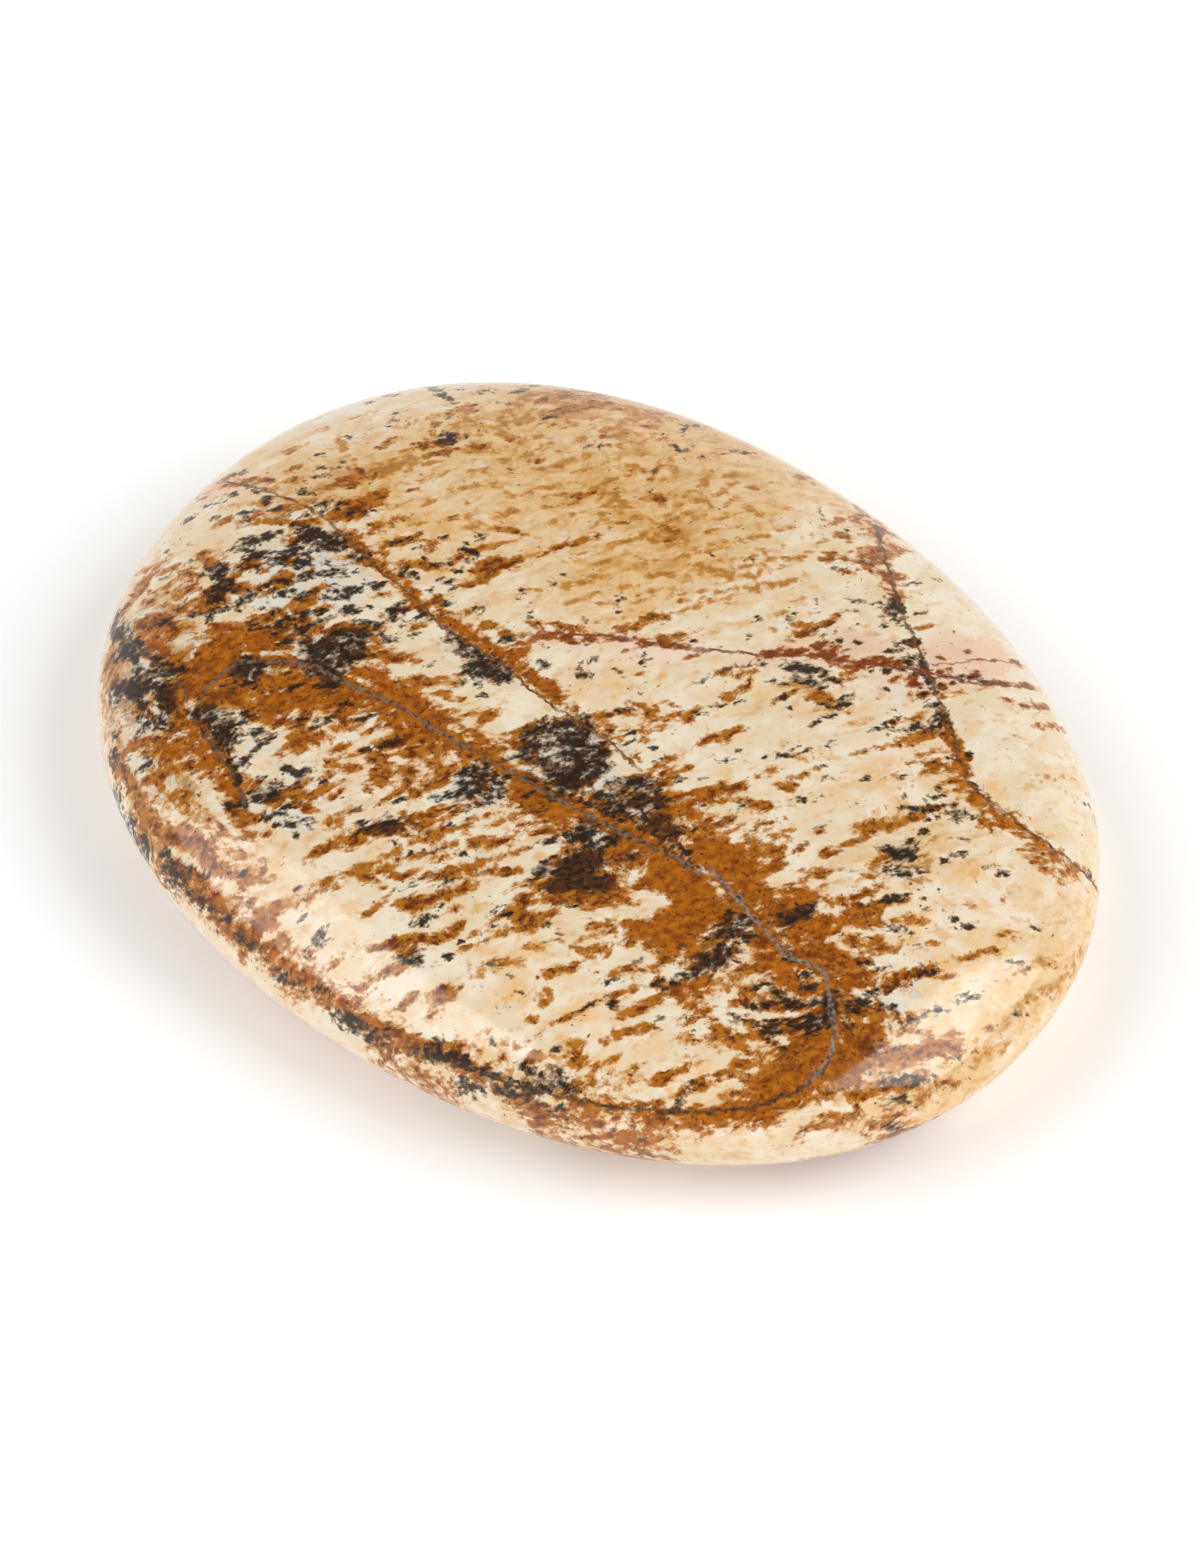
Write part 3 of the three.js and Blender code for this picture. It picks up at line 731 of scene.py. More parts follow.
RUST[0.85] = [
    (-17.5, .4, .8, .6), (-17.1, -.3, 2.8, .35, 30), (-16.8, -4.5, .8, .6), (-13.1, -4.9, 1, .6),
    (-14.5, -5.3, 1, .6), (-12.5, -3.1, .8, .45), (-12.7, -4.1, .6, .45), (-18.6, -7.9, 1.2, .4, -25),
    (-16.9, -10.3, 1.6, .6, 10), (-15.9, -10.9, 1.2, .45, -20), (-12.9, -8.9, 1, .35),
    (-15.3, -9.6, .8, .4, -30), (-18.9, -7.55, .6, .45), (-15.3, -7.5, .9, .3, 70), (-19.3, -6.4, .7, .45),
    (-13.2, -13.4, .8, .4, 30), (-14, -11.4, .7, .3), (-12.9, -13.1, 1, .6, 20), (-12.4, .75, .6, .45),
    (-11.5, .7, .5, .45), (-9.6, -.9, .6, .25), (-10, -2.6, 1, .35, 50), (-11.9, -4.2, 1.2, .45),
    (-9.9, -4.3, .9, .7), (-11.1, -4.4, .9, .6), (-4.5, -3.75, .6, .35, 20), (-6.8, -3.5, .4, .25),
    (-5.7, -3.7, .9, .35), (-7.6, -2.9, .6, .3), (-10.3, -8.9, 1.2, .45, 20), (-7.9, -8.2, .5, .35),
    (-6.9, -6.9, .5, .35), (-5, -9.1, .5, .3, 20), (-6.7, -9.5, .4, .3), (-9.3, -11.7, .9, .45, -30),
    (-4.9, -15.5, 1.6, .55, 50), (-6.1, -16.7, 2.2, .4, -3), (-10.7, -15, 1.2, .35, -25),
    (.1, -.35, .7, .2), (.6, -.55, .45, .25), (2.45, -.3, .5, .3), (2.6, -.7, .4, .25),
    (.35, -1.05, .5, .25), (3.9, -.2, .6, .3), (1.3, -3, .9, .35, 70), (-3.35, -3.6, .6, .3),
    (-2.2, -3.6, .45, .25), (-1.9, -4.2, .6, .4), (-.2, -3.7, .8, .4, 30), (-2, -8.15, .6, .3),
    (.8, -8.35, .5, .3), (-3.1, -13.5, .35, .2), (-3.65, -14, .7, .3), (4.1, -9.2, .8, .4),
    (3.8, -11.2, .6, .25), (3.3, -10.8, .6, .3), (2.4, -15.5, 1, .4), (.7, -15.4, 1.5, .4),
    (3.4, -16.6, 1.6, .4, 8), (9.3, .05, .45, .16), (8.75, -1.2, .5, .3), (6.9, -2.6, .9, .4),
    (10.4, -2.6, .7, .5), (6, -7.9, 1, .4), (8.9, -8.15, .7, .3), (6.7, -9.4, .5, .14),
    (7.65, -15.3, .6, .2), (8.6, -15.7, 2.2, .3, 14), (6.5, -16.1, 1.7, .3, 6), (14.85, -.3, .5, .25),
    (16, -.45, .4, .2), (20.6, -2.8, .6, .2), (20.6, -5.2, 1.4, .2, 70), (15.9, -8.1, .8, .3, 20),
    (-15.4, 9.3, 1, .4, 70), (-15.5, 8, .4, .3), (-13, 8, .9, .5, 50), (-18.4, 2, .6, .4),
    (-18.85, 2.5, .6, .25), (-12.95, 2.7, .6, .25), (-11.6, 6.2, .4, .3), (-11.3, 4.3, .5, .16),
    (-5.2, 10.35, .9, .4, 0), (-3.5, 9.4, .9, .3, 20), (-5.4, 8.5, .9, .2), (-8.9, 12.8, .5, .3),
    (-6.8, 11.2, .8, .2, 40), (-11.9, 11.5, 1, .35, 80), (1.6, 1.35, .35, .2), (2.2, 2, .35, .17, 20),
    (2.9, 16.4, .6, .3, 20), (4, 15.5, .9, .2, 85), (6.2, 8.5, 1.4, .3, 25), (9.2, 11.4, .35, .25),
    (11.4, 11.7, .9, .16, 70), (10.5, 9.8, .35, .2), (6.9, 9, .5, .3), (17.5, 5.8, .4, .2),
    (-18.1, -3.4, .7, .35), (-18.3, -5.2, .8, .3), (-19.1, -5.8, .9, .3, 20), (-17.3, -6.2, .9, .4, 30),
    (-17.2, -3.3, .8, .3), (-16.3, -4.2, .9, .4), (-14.2, -9, 1.6, .5), (-13.3, -7.5, 1.4, .5),
    (-8.9, -9.6, 1.3, .4, 40), (17.6, -2.5, 2.4, .5, 65), (-14.2, -9.7, 1.4, .4, 40),
    (14.4, -9.3, 1.4, .4, 40), (15.6, -8.6, 1.2, .4, 40), (19.3, -5.4, 2.2, .6), (20.4, -5.7, 1.4, .35),
    (18.5, -7.9, 1.8, .5), (-3.8, -17.1, .8, .2, -3),
]
RUST[0.8] = [
    (-15.4, -1.8, .8, .6), (-19.3, -1.4, .7, .45), (-18.4, -1.2, .6, .35), (-18.4, -3.85, .5, .35),
    (-16, -4.1, 1.2, .45, 20), (-16.9, -5.7, .6, .45, 0), (-18.4, -4.7, .5, .4), (-18.2, -5.4, 1, .35, 80),
    (-19.1, -5.5, .9, .35), (-19.5, -4.6, .4, .25, 10), (-17.3, -4.9, .5, .35), (-13.7, -9.3, .8, .35, 80),
    (-15.6, -10.6, .7, .4), (-5.6, .5, .5, .35), (-8.9, -3.3, .8, .35), (-4.9, -3.3, .5, .25),
    (-5.9, -9.3, .3, .25), (-7.2, -10.9, .4, .35), (-5.5, -11.1, .3, .25), (-4.3, -10.9, .6, .25),
    (-6.9, -15.1, 1.6, .35, 5), (2.1, .25, .6, .55), (2.5, .85, .5, .35), (.45, -.15, .5, .17),
    (-3.3, -2.9, .5, .3), (.9, -4.3, .7, .4), (-.8, -4.2, .6, .3), (1.25, -7, .6, .25),
    (4.9, -9.2, .6, .4), (5.2, -10.9, .7, .2), (3.85, -14.1, .5, .25), (5.6, -15.6, 1, .3, 20),
    (13.5, -1.5, .9, .3), (7.4, -7.9, .8, .25), (8.6, -11.85, 1.2, .12, 65), (9, -13.9, .5, .2, 20),
    (7.55, -14.3, .7, .16), (11.4, -13, .4, .2, 20), (10.5, -13.3, .35, .2), (10.9, -13.7, .7, .25),
    (12.3, -6.6, .7, .25), (12.3, -7.8, .9, .2, 75), (13.1, -10.9, .3, .2), (12.1, -12.5, .3, .2),
    (9.6, -15.6, 1.8, .25, 18), (19.5, 1, 1.2, .3), (18.9, -.1, .8, .3, 50), (15.2, -11, .6, .25),
    (14.2, -6.3, .6, .3), (16, -9.4, .5, .25), (-13.6, 7.3, 1.3, .25, 45), (-10.8, 2.1, .35, .18),
    (-12.85, 8.2, .6, .5), (-5.9, 7.1, .4, .16), (-3.4, 8.8, .3, .3, 0), (-9.5, 12.1, .35, .2),
    (.2, 2.5, .4, .2), (3.9, 3.75, .35, .18), (5.6, 5.4, .8, .2, 75), (-1.3, 16.3, .28, .2, 0),
    (-2.4, 10.3, .4, .25), (-3.4, 9.4, .8, .3, 10), (7.6, 12.4, .8, .2, 65), (12.2, 13.2, .9, .25, 65),
    (11.2, 6.8, .35, .25), (13.4, 6.2, .6, .2), (8.1, 6.4, .35, .2), (11.9, 7.1, .7, .25),
    (14.6, 7.2, .2, .3, 0), (18.6, 7.25, .25, .3, 0), (19.6, 6.2, .3, .19), (18.1, 6.6, .5, .25),
    (-19.4, -6.5, .7, .4), (-18.4, -6.2, .8, .3), (-19.7, -4.7, .7, .25), (-20.3, -5.6, 1.4, .35, 90),
    (15.2, -9.6, 1.4, .4, 50), (16.2, -9, 1.4, .4, 70), (-.8, -8.4, 1.2, .4), (11.8, 6.4, .9, .35),
    (-12.3, 15.2, 1.6, .35, 25), (20.2, -4.3, 2.2, .5, 65), (19.5, -7, 1.6, .5), (17.9, -4.3, 1.2, .45),
    (16.9, -9.9, 1.6, .4, 50), (-13, -.2, 1.2, .35, 20), (-12.2, .2, 1.4, .3, 20),
    (-10.9, -.9, .9, .35, 50), (.3, -8.6, 1.2, .35), (-.6, -9.4, 1.2, .3, 50), (1, -9.9, 1.2, .3, 50),
    (-9, -14.6, 1.4, .4, 10), (-10.6, -14.8, 1.4, .35, 10), (-19.2, -9.3, 1.2, .35, -60),
    (-9.2, -11.6, 1.2, .3, 20), (-8.3, -12.9, 1.2, .3, 20), (-2.35, -17.3, .8, .2, 0),
    (-12.3, -15.2, .8, .25, -28),
]
RUST[0.75] = [
    (-16.1, -11.3, .5, .35), (-12.5, -13.6, .6, .4), (-1.7, -12.4, .5, .25, 20), (11.2, -2.75, .9, .3, 50),
    (11.7, -12.5, .5, .13), (17.8, -2.1, 1.4, .4, 50), (19.15, .4, .6, .25), (.9, -8.2, 1, .35),
    (-11.7, 14.6, 1.5, .5, 65), (-11, 15.7, 1.4, .3, 25), (20.9, -5.9, 1.6, .35),
    (18.8, -3.8, 1.6, .35, 55), (5.2, -16.95, 1, .2, 10), (-10.4, -16, .8, .25, -15),
]
RUST[0.7] = [
    (-19.7, 1.2, 1.4, .4, 20), (-18.9, 1.1, .8, .3, 10), (-18, 0, .6, .6), (-20.4, -5.3, 1, .35, 80),
    (-20.2, -4.4, .3, .25, 0), (-19.9, -3.3, .3, .25), (-17.8, -5.1, .4, .45, 0),
    (-18.4, -9.9, 1, .35, -55), (-20.3, -6.8, 1.6, .3, -80), (-20.2, -6, 1, .35, 85),
    (-17.5, -10.2, .8, .3), (-16.4, -10.4, .6, .35), (-9.7, -3.1, .5, .25), (-10.9, -13.9, .6, .35),
    (-9.7, -13.7, 1.2, .3, -15), (-4.4, -16, .5, .35), (3.6, -1, .6, .25), (2.2, -1.2, .9, .16, 10),
    (-.9, -1.6, .6, .3), (-.2, -7.3, .8, .2), (-2.3, -9.9, .5, .3), (1.4, -14.7, .6, .3),
    (-1.6, -17, 1.6, .25, 0), (2.6, -17.05, 1.4, .25, 3), (-3.3, -17, 1.2, .25, -3), (17.6, -3.1, 1.4, .5),
    (20.8, 1.4, .6, .2), (14, -7.9, .5, .2), (21.4, -1.4, .35, .18), (-17.9, 2.1, .3, .2, 0),
    (-19.7, 1.25, 1.4, .25, 20), (-12.9, 3, .9, .25), (-11.2, 13.6, 1.4, .7), (-11.7, 12.3, 1.5, .3, 70),
    (-13.6, 10, .5, .2), (-2.6, 13.8, .35, .2), (-3.2, 9, .3, .4, 0), (13.8, 5.9, .6, .2, 20),
    (10.9, 10.5, .6, .2), (6.7, 6.4, .8, .3, 20), (5.2, 2, .5, .3), (17.6, 7.1, .2, .3, 0),
    (-12.6, 13.9, 1.8, .5), (-12, 11.9, 1.2, .4, 80), (-8.4, 13.9, .5, .3), (3.2, 14.5, 1.6, .4),
    (18.1, -1.6, 1.4, .4), (20.6, -6.9, 1.6, .3, 58), (19, -8.9, 1.4, .3), (-12.4, 13.2, 1.2, .3),
    (-11.2, 13.6, 1.2, .35, 70), (-17.9, -.3, 1.2, .35, 30), (-18.6, .3, .9, .35), (-9.9, -1.3, .9, .35),
    (-8.8, -1.5, .9, .3), (-.2, -10.9, 1, .3, 40), (-7.9, -15.1, 1.2, .3, 20),
]
RUST[0.65] = [(-12.9, 12.4, 1.6, .45, 70)]
RUST[0.6] = [
    (-15, -.5, .6, .35), (-20.9, -5, .9, .25, 10), (-14.3, -1.7, .5, .25), (-15.9, -2.9, .4, .25),
    (-18.2, -10.1, .9, .35, -60), (-7.6, .3, .6, .35), (-8.9, -14.2, .8, .35), (-7.4, -14.4, 1.6, .35, 20),
    (-6.2, -14.6, 1.2, .55, 10), (-3.9, -14.6, 1.2, .35, 55), (-8.6, -13.9, 1.1, .25, -10),
    (2.6, -5.9, .6, .3), (0, -6.4, .5, .2), (-.5, -7.6, .4, .2), (3.7, -15.3, .8, .3),
    (-1.2, -15.9, .6, .3), (-2.7, -16.2, .8, .25, 20), (13.5, .9, .5, .2), (7, -14.6, .8, .2, 30),
    (6.8, -15.6, .8, .25, 30), (11.9, -14.9, 1.4, .16, 28), (13.6, -14.1, 1.2, .2, 33), (15.4, .1, .9, .3),
    (18.8, -1.2, .9, .3, 50), (19.6, 2.3, .9, .3), (20, -4.4, 2.4, .6, 70), (19.4, -5.3, 2, .5),
    (19.2, -4.1, 1.4, .3, 50), (20.9, -6.9, .9, .16), (15.5, -9.9, .4, .2), (-20, 3.1, .6, .25),
    (-5.8, 12.2, .5, .2, -40), (-12.4, 9.2, .5, .2, 0), (-11.3, 11.6, 1.2, .4, 75),
    (-9.1, 12.2, .8, .3, 50), (-13.7, 14.1, 1.4, .3, 38), (-11.4, 12.7, 1.2, .45, 70),
    (-9.6, 15.9, 1.6, .3, 20), (21.4, -4.4, 1.2, .25, 62), (-11.9, 12.3, 1, .3),
    (-10.4, 13.9, .9, .25, 50), (-17, .6, 1.2, .25, 10),
]
RUST[0.55] = [(-21.4, .9, .7, .4)]
RUST[0.5] = [
    (-20.9, .5, .9, .25, 20), (-16.4, -7.7, .9, .25, 65), (-17.7, -6.3, .5, .35), (.2, -16.1, .6, .2, 20),
    (7.1, -15, .6, .25), (5.9, -14.7, .5, .2), (14.2, 2.8, .4, .2), (17.7, -.3, .5, .25),
    (17.7, 2.2, .35, .25, 0), (21.3, 2.6, .7, .25), (21.7, -2.2, .5, .16), (20.2, -7.6, .6, .16),
    (-18, 4.8, .6, .25, -30), (-9.5, 9.7, .4, .2), (-12.3, 14.2, .8, .3), (-9.4, 14.6, 1.6, .5, 40),
    (-12.2, -5.9, .4, .3, 0),
]
RUST[0.45] = [(-21.6, -.3, .6, .6)]
print(f"Rust has {count(RUST)} strokes")

# %% Black strokes
# Swarms of manganese crystals, and single flecks of it
BLACK = {}
BLACK[0.99] = [(.3, -2.4, 1.5, 1.45, 20), (-.5, 1.9, .55, .3, -10), (-1.85, 1.85, .6, .2)]
BLACK[0.97] = [
    (-17.2, -1.5, 1.7, .55, 55), (-11.5, -2.5, .8, .55, 45), (-7, -2.7, .7, .2),
    (-10.1, -10.6, 1.6, .4, 88), (-8.2, -11.5, 1.1, .7, 85), (.72, .4, .4, .3), (4.85, -.8, .45, .3),
    (.2, -1.6, 1.3, .85, 80), (1.6, -2.5, 1.4, 1.1, 80), (-1.3, -4.3, 1, .19, 55),
    (3.45, -2.25, 1.5, .6, 50), (4.6, -2.4, 1.3, 1.1), (3.9, -3.4, 1.5, .85, 50), (3, -3.3, 1.4, .5, 50),
    (2.6, -6.6, 1.1, .3), (.2, -9.3, .3, .35, 0), (7.2, -3.55, .9, .4, 20), (14.1, -7.1, 1.2, .25, 55),
    (13.9, -12.1, 1.1, .18, 85), (14.2, 3.6, .5, .35), (15.7, 3.5, .4, .25, 10), (15.7, 3.1, .4, .2),
    (17.8, 4.4, .6, .25), (15.3, .3, .9, .4), (15.2, -6.3, 1.5, .45, 40), (15.9, -6.6, 1.1, .4, 50),
    (15, -7.5, 1, .35, 50), (-11, 7.6, .38, .2, -60), (-10.1, 1.65, 1, .3, 45), (-6.3, 2.6, .45, .2, -70),
    (-.3, 3.35, .35, .2, 20), (5.7, 6.5, .8, .5, 30), (2.6, 4.3, .9, .16, 70), (5.9, 12.2, 1.1, .6, -60),
    (6.3, 12.4, .9, .55, -50), (8.3, 10.7, .9, .3), (9.1, 10.2, .9, .3), (8.5, 8.4, .28, .2, 0),
    (11.1, 8.7, .9, .5), (10.6, 7.5, 1, .4), (10.8, 4.1, .38, .3), (8.6, 4.7, .5, .35),
    (-15.4, -.15, 1.7, .7, 5),
]
BLACK[0.95] = [
    (-15.4, 0, 1.7, .55, 10), (-14.6, .15, .8, .75, 50), (-11.4, -.7, .7, .5), (-12.2, -1.7, 1.1, .5, 50),
    (1.2, -1.9, 1.3, .95), (1.5, -3.2, 1.4, 1.1, 80), (-2, -5.7, 1, .6, 50), (-.8, -5.3, .9, .25, 65),
    (-1.7, -7, 1.3, .55), (-2.5, -7.75, .6, .4), (-3.6, -8.9, .55, .19), (-3.2, -10, 1.1, .7, 50),
    (.9, -12.6, .7, .55), (3.4, -11.05, .33, .35), (5.9, 1.9, .35, .25), (5.8, 1.15, .4, .25),
    (10.7, -4.85, 1, .55, 40), (11.4, -4.5, .9, .4, 20), (11.5, -6.2, 1.4, .55, 70), (11.4, -7, 1.5, .65),
    (10.3, -9.05, .6, .3), (9.1, -8.8, .45, .25), (9.5, -10.85, .4, .19, 20), (14.2, 2.05, .9, .6),
    (14.05, 2.9, .4, .3), (14.6, 5.35, .8, .35, 50), (15.6, 4.5, .4, .2, 20), (16, 3.9, .5, .25),
    (17.1, 4.1, .4, .18), (17.3, 4.4, .4, .2), (17.2, -4.1, 1.5, .45, 75), (-14.25, 11, .55, .2, 10),
    (-14.85, 9.8, .6, .17, -50), (-18.1, 5.3, .35, .3, 0), (-18.45, 3.75, .35, .2, 0),
    (-9.5, 3.1, 1, .4, 20), (-10.75, 1.6, .35, .2, 0), (-9.2, 1.95, .5, .25), (-9.2, 1.2, .45, .25),
    (-5.65, 3.9, .38, .25), (-6.7, 13.45, .5, .35, 20), (-6.3, 13.55, .5, .35), (-1.95, 1.3, .7, .14),
    (5.3, 7, 1.5, .55, 25), (7.6, 6.9, .9, .35), (3.9, 6.1, .33, .3), (-1.6, 1, .6, .3, 20),
    (8.6, 10.3, .8, .3), (10.5, 9.2, .7, .3), (11.9, 5.2, .42, .3), (7.6, 3, .28, .2),
    (6.9, 2.3, .22, .2, 0), (14.3, 5.6, .4, .25), (17.2, -4.6, 1.3, .4, 82), (-14.4, -.1, 1.1, .5, 40),
    (-15.7, -1.5, 1.2, .5), (-11.6, -2.5, .9, .45, 50),
]
BLACK[0.9] = [
    (-13, 0, .6, .6), (-15.6, -.5, 1.3, .55), (-15.1, -.9, 1.1, .5, 40), (-13.4, -1.05, .7, .35),
    (-15.7, -1.6, 1, .5, 70), (-14.8, -1.6, .9, .6, 50), (-14.2, -2.1, .8, .4, 45),
    (-16.5, -2.2, 1, .4, 50), (-17.7, -3.9, .9, .6, 30), (-13, -3.8, .9, .4, 50),
    (-12.8, -4.6, .9, .4, 50), (-12.5, -5.3, 1, .4, 50), (-18.8, -.6, .9, .35, 40),
    (-20.6, -3.8, .25, .3, 0), (-17.9, -7.2, .5, .4, 0), (-10.6, -5.2, 1.8, 1.5, 30),
    (-11.6, -4.9, 1, .85), (-12.5, -2.4, .9, .35, 45), (-10.9, -1.9, .35, .3), (-9.6, -1.1, .9, .3),
    (-10.1, -1.3, .9, .3, 65), (-9.8, -1.7, .6, .3), (-9.2, -1.6, .6, .25), (-9.2, -2.7, .8, .5, 45),
    (-10.2, -2.4, .8, .4, 45), (-10.8, -2.6, .5, .4), (-8.7, -.7, .9, .3, 0), (-11, .5, .7, .5),
    (-8.5, .3, .6, .35), (-7.2, .8, .6, .35), (-5.1, -1.3, 1.7, 1.25, 10), (-6.4, -1.1, 1.4, .6, 5),
    (-4.2, -1.2, .9, .7), (-5.6, -1.8, .8, .55), (-18, -8.45, 1.6, .35, -12), (-16.9, -8.8, 1.2, .35, -5),
    (-15.5, -8.75, .8, .4, 30), (-12.9, -7.3, 1.2, .95), (-19.6, -8.1, 1.3, .6, -30),
    (-18.6, -8.8, .9, .7, -30), (-17.7, -9.2, .8, .35, -40), (-17.2, -9.6, 1.2, .4, -40),
    (-16.4, -9.4, 1.5, .4, 10), (-16, -8.95, 1, .5, 20), (-16.2, -10.7, 1.5, .45, -20),
    (-15.1, -11.6, 1.2, .4, 75), (-14.4, -11.3, .9, .4, 20), (-15.7, -13, .9, .4, -40),
    (-13, -9.9, 1.1, .7, 10), (-13.5, -10.3, .7, .4, -20), (-13.2, -7.3, 1.3, .95, 40),
    (-11.3, -10.5, .9, .7, 80), (-10.1, -9.7, .9, .55, 80), (-10.7, -9.6, .7, .4),
    (-11.9, -10.7, 1, .4, -30), (-10.4, -11.4, 1.7, .45, -35), (-9.8, -11.8, .8, .35, -50),
    (-8.6, -12, .8, .4, 0), (-8.9, -12.6, .8, .5), (-7.7, -12.6, .6, .4, 0), (-8.4, -10.3, .7, .4, 0),
    (-7.7, -10.1, .9, .35, 50), (-6.7, -9.9, .45, .25), (-7.1, -11.6, .9, .3), (-6.3, -11.9, 1, .25, 30),
    (-6.6, -12.2, .9, .25, -30), (-6.1, -12.5, .35, .25, 0), (-5.8, -11.9, .3, .25, 0),
    (-6.9, -12.5, .5, .25, 20), (-4.7, -10.2, .5, .25), (-4.1, -10.6, .5, .4), (-3.6, -8.8, .5, .3),
    (-6.3, -7.6, .6, .19), (-12.1, -6.45, .8, .3, 50), (-1.6, .95, .7, .35), (-3.1, .1, .5, .35),
    (-.35, -.8, .6, .25), (1.8, -.2, .5, .25), (3, -.2, .4, .25), (3.55, -.6, .5, .17),
    (5.55, -.2, .35, .16), (4.6, -1.1, .35, .19), (-.95, -3.35, 1.1, .85), (-.6, -2.1, .9, .6, 40),
    (.3, -3.65, 1.5, .6, 10), (.9, -3.95, 1.3, .55, 10), (1.4, -4.2, 1.3, .7, 70), (-1.3, -5.6, .9, .55),
    (-1.6, -6.4, 1.1, .65), (-.7, -6.3, 1.1, .6, 65), (-2.1, -6.6, .5, .35), (3.5, -5.3, 1.1, .95),
    (5.5, -5.3, 1.5, .4), (3.9, -7.1, 1.7, .7), (4.3, -7.9, 1.1, .7, 70), (3.25, -8.3, .8, .19, 80),
    (2.95, -5.9, .6, .25), (-1.15, -8.5, .25, .25, 0), (-.75, -9.6, .45, .18), (-1.5, -10.5, .8, .19, 55),
    (-2.35, -10.5, .22, .25, 0), (-.5, -11.15, .5, .18), (-.6, -11.65, .45, .18), (-.85, -12.1, .3, .19),
    (1.05, -11.7, .22, .25, 0), (1.5, -14.2, 1, .55, 20), (3.4, -10.4, .5, .25), (5.1, -9.7, .25, .25, 0),
    (2.9, -10.8, .33, .25), (3.8, -11, .35, .19, 0), (3.5, -11.8, .28, .19), (4.4, -16.5, 1.8, .4, 18),
    (5.5, -16.1, 1.6, .5, 15), (9.4, 1.6, .55, .3), (10.8, 1.05, .3, .19), (13.7, 1.95, 1, .4, 30),
    (13.2, .15, .4, .17), (7.75, -.3, .7, .2), (10.8, -.1, .3, .17), (6.4, -1.2, .35, .2),
    (7.8, -.9, .4, .17), (6.9, -2.3, .35, .2), (6.7, -2.75, .35, .2), (7.9, -3.75, .9, .17, 0),
    (12.7, -3, 1.6, .65, 75), (11.3, -5.2, 1.1, .65), (10.8, -5.8, 1.2, .55, 80), (11, -8.2, 1.4, .4, 65),
    (10.9, -8.7, .45, .25), (9.1, -10.85, .35, .19, 0), (9.45, -11.05, .3, .17, 0), (8.7, -10.3, .5, .17),
    (8.8, -11.4, .3, .16), (8.7, -13.65, .4, .2), (8.8, -15.2, 1.3, .5, 20), (8, -15.8, 2, .3, 15),
    (6.3, -15.95, 1.7, .3, 6), (13.9, -7.6, .8, .25, 30), (13.6, -6.7, .9, .25), (13.8, -4.85, .6, .25),
    (14.4, 2.6, .9, .35, 70), (13.5, 5.3, .7, .3), (13.7, 4.6, .7, .35), (13.2, 4.1, .6, .3),
    (14.2, 4.65, .4, .2), (14.8, 5, .5, .25, 10), (17.6, 1.15, .7, .3, 0), (21, 1.8, .3, .2),
    (16.4, .9, .38, .2, -60), (14.9, -.2, .6, .3), (15.5, .65, .5, .18), (16.3, -.8, .9, .4, 30),
    (15.9, -1.1, .45, .2), (17.65, -1.4, .28, .2, 0), (16.4, -2.9, .9, .25, 10), (19.6, -2.5, .5, .35),
    (21.8, .2, .7, .16), (17, -4.8, .7, .4), (14.7, -5, .9, .4), (15.1, -5.4, .7, .35),
    (16.3, -5.3, .9, .6, -60), (16.3, -6.2, 1.3, .6, 80), (17.4, -5.5, .4, .35), (16.7, -5.7, .6, .3, -60),
    (14.6, -6.4, .5, .4), (20.2, -5.7, 1, .35), (20.5, -6.3, .9, .2), (14, -12.4, .6, .2),
    (-17, 10.1, 1.8, .5, -25), (-15.5, 11.25, 1, .2, 80), (-14.4, 7.65, 1.1, .6, 50),
    (-17.5, 7.7, .45, .17, -60), (-17.2, 7.3, .3, .17, 0), (-17.2, 6.9, .5, .2, -60),
    (-17.2, 3.8, .45, .17, -50), (-17.4, 3.3, .35, .14), (-18.6, 3.2, .3, .17), (-14.5, 2.1, .6, .2),
    (-9.7, 4.1, .4, .2), (-9.6, 3.8, .4, .2, 20), (-9.2, 2.8, .7, .3), (-10.85, 3, .4, .15),
    (-11.9, 2.3, .6, .25), (-8.8, 1.15, .4, .2), (-5.6, 4.5, .35, .18), (-5.3, 3.95, .3, .15, 0),
    (-5.4, 2.1, .7, .15, -60), (-3.9, 1.1, .35, .2, 0), (-7.6, 13.9, .22, .3, 0),
    (-6.2, 14.15, .28, .2, 0), (-.15, 3, .35, .15), (-2.6, 2.3, .3, .2), (-3.2, 4.95, .28, .17, 0),
    (-2.85, 5.1, .28, .18), (-2.7, 4.6, .33, .18, -60), (-2.6, 4.4, .28, .16, 0),
    (.75, 1.7, .28, .18, -30), (.85, 5.2, .3, .2), (2.5, 6.85, .28, .18), (3.6, 10.1, .4, .16, -60),
    (3.2, 9.1, .4, .15), (3.3, 8.7, .35, .14), (4.5, 9.2, .5, .16), (5.1, 9.4, .4, .15, -70),
    (5.8, 7.2, 1.2, .5, 20), (6.1, 6.6, 1.2, .4, 20), (6.5, 7.2, .9, .4, 30), (7.7, 6.4, .6, .2),
    (7.85, 7.15, .3, .2), (7.8, 5.9, .35, .2), (7.4, 5.2, .9, .2, 80), (3.5, 5.7, .4, .16),
    (3.9, 3.3, .4, .15), (3.6, 3.1, .35, .14), (5.6, 5.3, .9, .2, 75), (3.6, 2.5, .33, .2),
    (3.35, 2.4, .33, .14, 20), (-1.3, 9.4, .28, .17, 20), (2.9, 12.35, .4, .2, 20),
    (1.7, 14.7, .38, .2, -50), (.4, 14.6, .5, .17, -40), (5.6, 14.1, .6, .18), (6, 15.5, .5, .25),
    (6.3, 11.9, .7, .3, -60), (6.9, 12.8, .5, .15), (7.5, 11, .7, .2), (7.7, 10.6, .6, .2),
